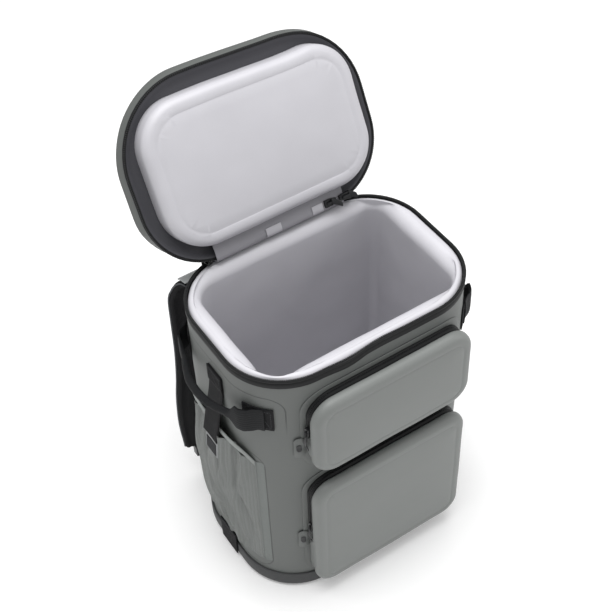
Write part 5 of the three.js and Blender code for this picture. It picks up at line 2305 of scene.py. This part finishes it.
    def yoke(self) -> None:
        """Models the light flap over the straps' roots."""
        rows = []
        for i in range(45):
            x = self.yoke_half * (2 * i / 44 - 1)
            row = []
            for j in range(13):
                out, drop = between(numbered(self.yoke_table), j / 4)
                wave = 1.1 * math.sin(x * 0.045 + 0.6) * step(j, 2, 12)
                sag = 1.6 * hump(x, 0, 50) * step(j, 3, 12)
                row.append(Vector((x, BODY.half_y + 0.3 + out, 423 - drop + wave * 0.6 - sag)))
            rows.append(row)
        obj = Bench.skin("yoke_flap", rows)
        Bench.apply(obj, "SOLIDIFY", thickness=2.0 * MM, offset=0.0)
        Bench.apply(obj, "BEVEL", width=0.8 * MM, segments=2, limit_method="ANGLE",
                    angle_limit=math.radians(60))
        place_piece(obj, Finishes.yoke, "strap_yoke", angle=60)

    def build(self) -> None:
        """Builds the whole back."""
        self.pad()
        for side in Side:
            self.strap(side)
            self.lower(side)
            self.anchor(side)
            self.buckle(side)
        self.yoke()


# The picture: camera, lights and floor
@dataclass
class Studio:
    """Camera at the photograph's angle, soft light and a plain pale floor."""

    azimuth: float = -31.57
    elevation: float = 47.04
    roll: float = -2.57
    distance: float = 1588.03
    target: tuple[float, float, float] = (-20.46, 14.47, 393.6)
    focal: float = 1285.55
    frame: float = 612.0

    def camera(self) -> None:
        """Places the camera."""
        a, e, r = (math.radians(v) for v in (self.azimuth, self.elevation, self.roll))
        back = Vector((math.sin(a) * math.cos(e), -math.cos(a) * math.cos(e), math.sin(e)))
        right = (-back).cross(Vector((0, 0, 1))).normalized()
        up = right.cross(-back)
        turned = math.cos(r) * right + math.sin(r) * up
        raised = -math.sin(r) * right + math.cos(r) * up
        eye = (Vector(self.target) + back * self.distance) * MM
        data = bpy.data.cameras.new("camera")
        data.sensor_width = 36
        data.lens = self.focal / self.frame * 36
        data.clip_end = 50
        camera = bpy.data.objects.new("camera", data)
        bpy.context.scene.collection.objects.link(camera)
        turn = Matrix((turned, raised, back)).transposed().to_4x4()
        camera.matrix_world = Matrix.Translation(eye) @ turn
        bpy.context.scene.camera = camera

    def light(self, name: str, place: Sequence[float], size: float, power: float) -> None:
        """Adds a soft square light that looks at the pack.

        Args:
            name: its name.
            place: where it is, in metres.
            size: its width in metres.
            power: its power in watts.
        """
        data = bpy.data.lights.new(name, "AREA")
        data.size = size
        data.energy = power
        lamp = bpy.data.objects.new(name, data)
        bpy.context.scene.collection.objects.link(lamp)
        lamp.location = place
        aim = Vector((0, 0, 0.3)) - Vector(place)
        lamp.rotation_euler = aim.to_track_quat("-Z", "Y").to_euler()

    def sky(self, strength: float) -> None:
        """Sets an even white surrounding."""
        world = bpy.data.worlds.new("studio")
        bpy.context.scene.world = world
        world.use_nodes = True
        node = world.node_tree.nodes["Background"]
        node.inputs["Color"].default_value = (1, 1, 1, 1)
        node.inputs["Strength"].default_value = strength

    def floor(self) -> None:
        """Lays a plain pale floor."""
        Bench.focus(None)
        bpy.ops.mesh.primitive_plane_add(size=160)
        obj = Bench.settle(bpy.context.active_object, "studio_floor")
        recipe = Recipe("studio_floor")
        white = (1.0, 1.0, 1.0)
        obj.data.materials.append(recipe.finish(
            (0.9, 0.9, 0.9), 0.9, None, Emission_Color=white, Emission_Strength=0.16))

    def build(self) -> None:
        """Builds the whole set."""
        self.camera()
        self.light("top", (-0.1, 0.1, 2.6), 1.9, 62)
        self.light("right", (2.4, -1.6, 1.6), 1.4, 14)
        self.sky(0.49)
        self.floor()
        bpy.context.scene.view_settings.view_transform = "Standard"


def dress_rest(frame: dict) -> None:
    """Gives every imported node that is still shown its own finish.
    """
    by_slot = {
        "shell": Finishes.welt, "liner": Finishes.liner, "zip": Finishes.band,
        "trim": Finishes.boot, "webbing": Finishes.webbing, "mesh": Finishes.hem,
        "plastic": Finishes.plastic, "label": Finishes.label, "strap": Finishes.strap,
        "yoke": Finishes.yoke,
    }
    slots = {row["node"]: row["material_slot"] for row in frame["record"]["subparts"]}
    for name, obj in frame["nodes"].items():
        if obj.hide_render:
            continue
        obj.data.materials.clear()
        obj.data.materials.append(by_slot[slots[name]].material())
        LOG.info("%s: packed solid kept", name)


def main() -> None:
    """Builds the whole pack round its frame."""
    logging.basicConfig(level=logging.INFO, format="%(message)s")
    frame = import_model()
    Studio().build()
    Tub().build()
    Lid().build()
    pockets = [
        Pocket("upper_pocket", 116.0, 272.0, 399.0, 338.0, corner=31.0, shift=7.0),
        Pocket("lower_pocket", 117.0, 27.0, 241.0, 140.0, corner=28.0, shift=5.0),
    ]
    for pocket in pockets:
        pocket.build()
        PocketZipEnd(pocket).build()
    MainZipEnds(Lid()).build()
    SideGear().build()
    Back().build()
    dress_rest(frame)


if __name__ == "__main__":
    main()
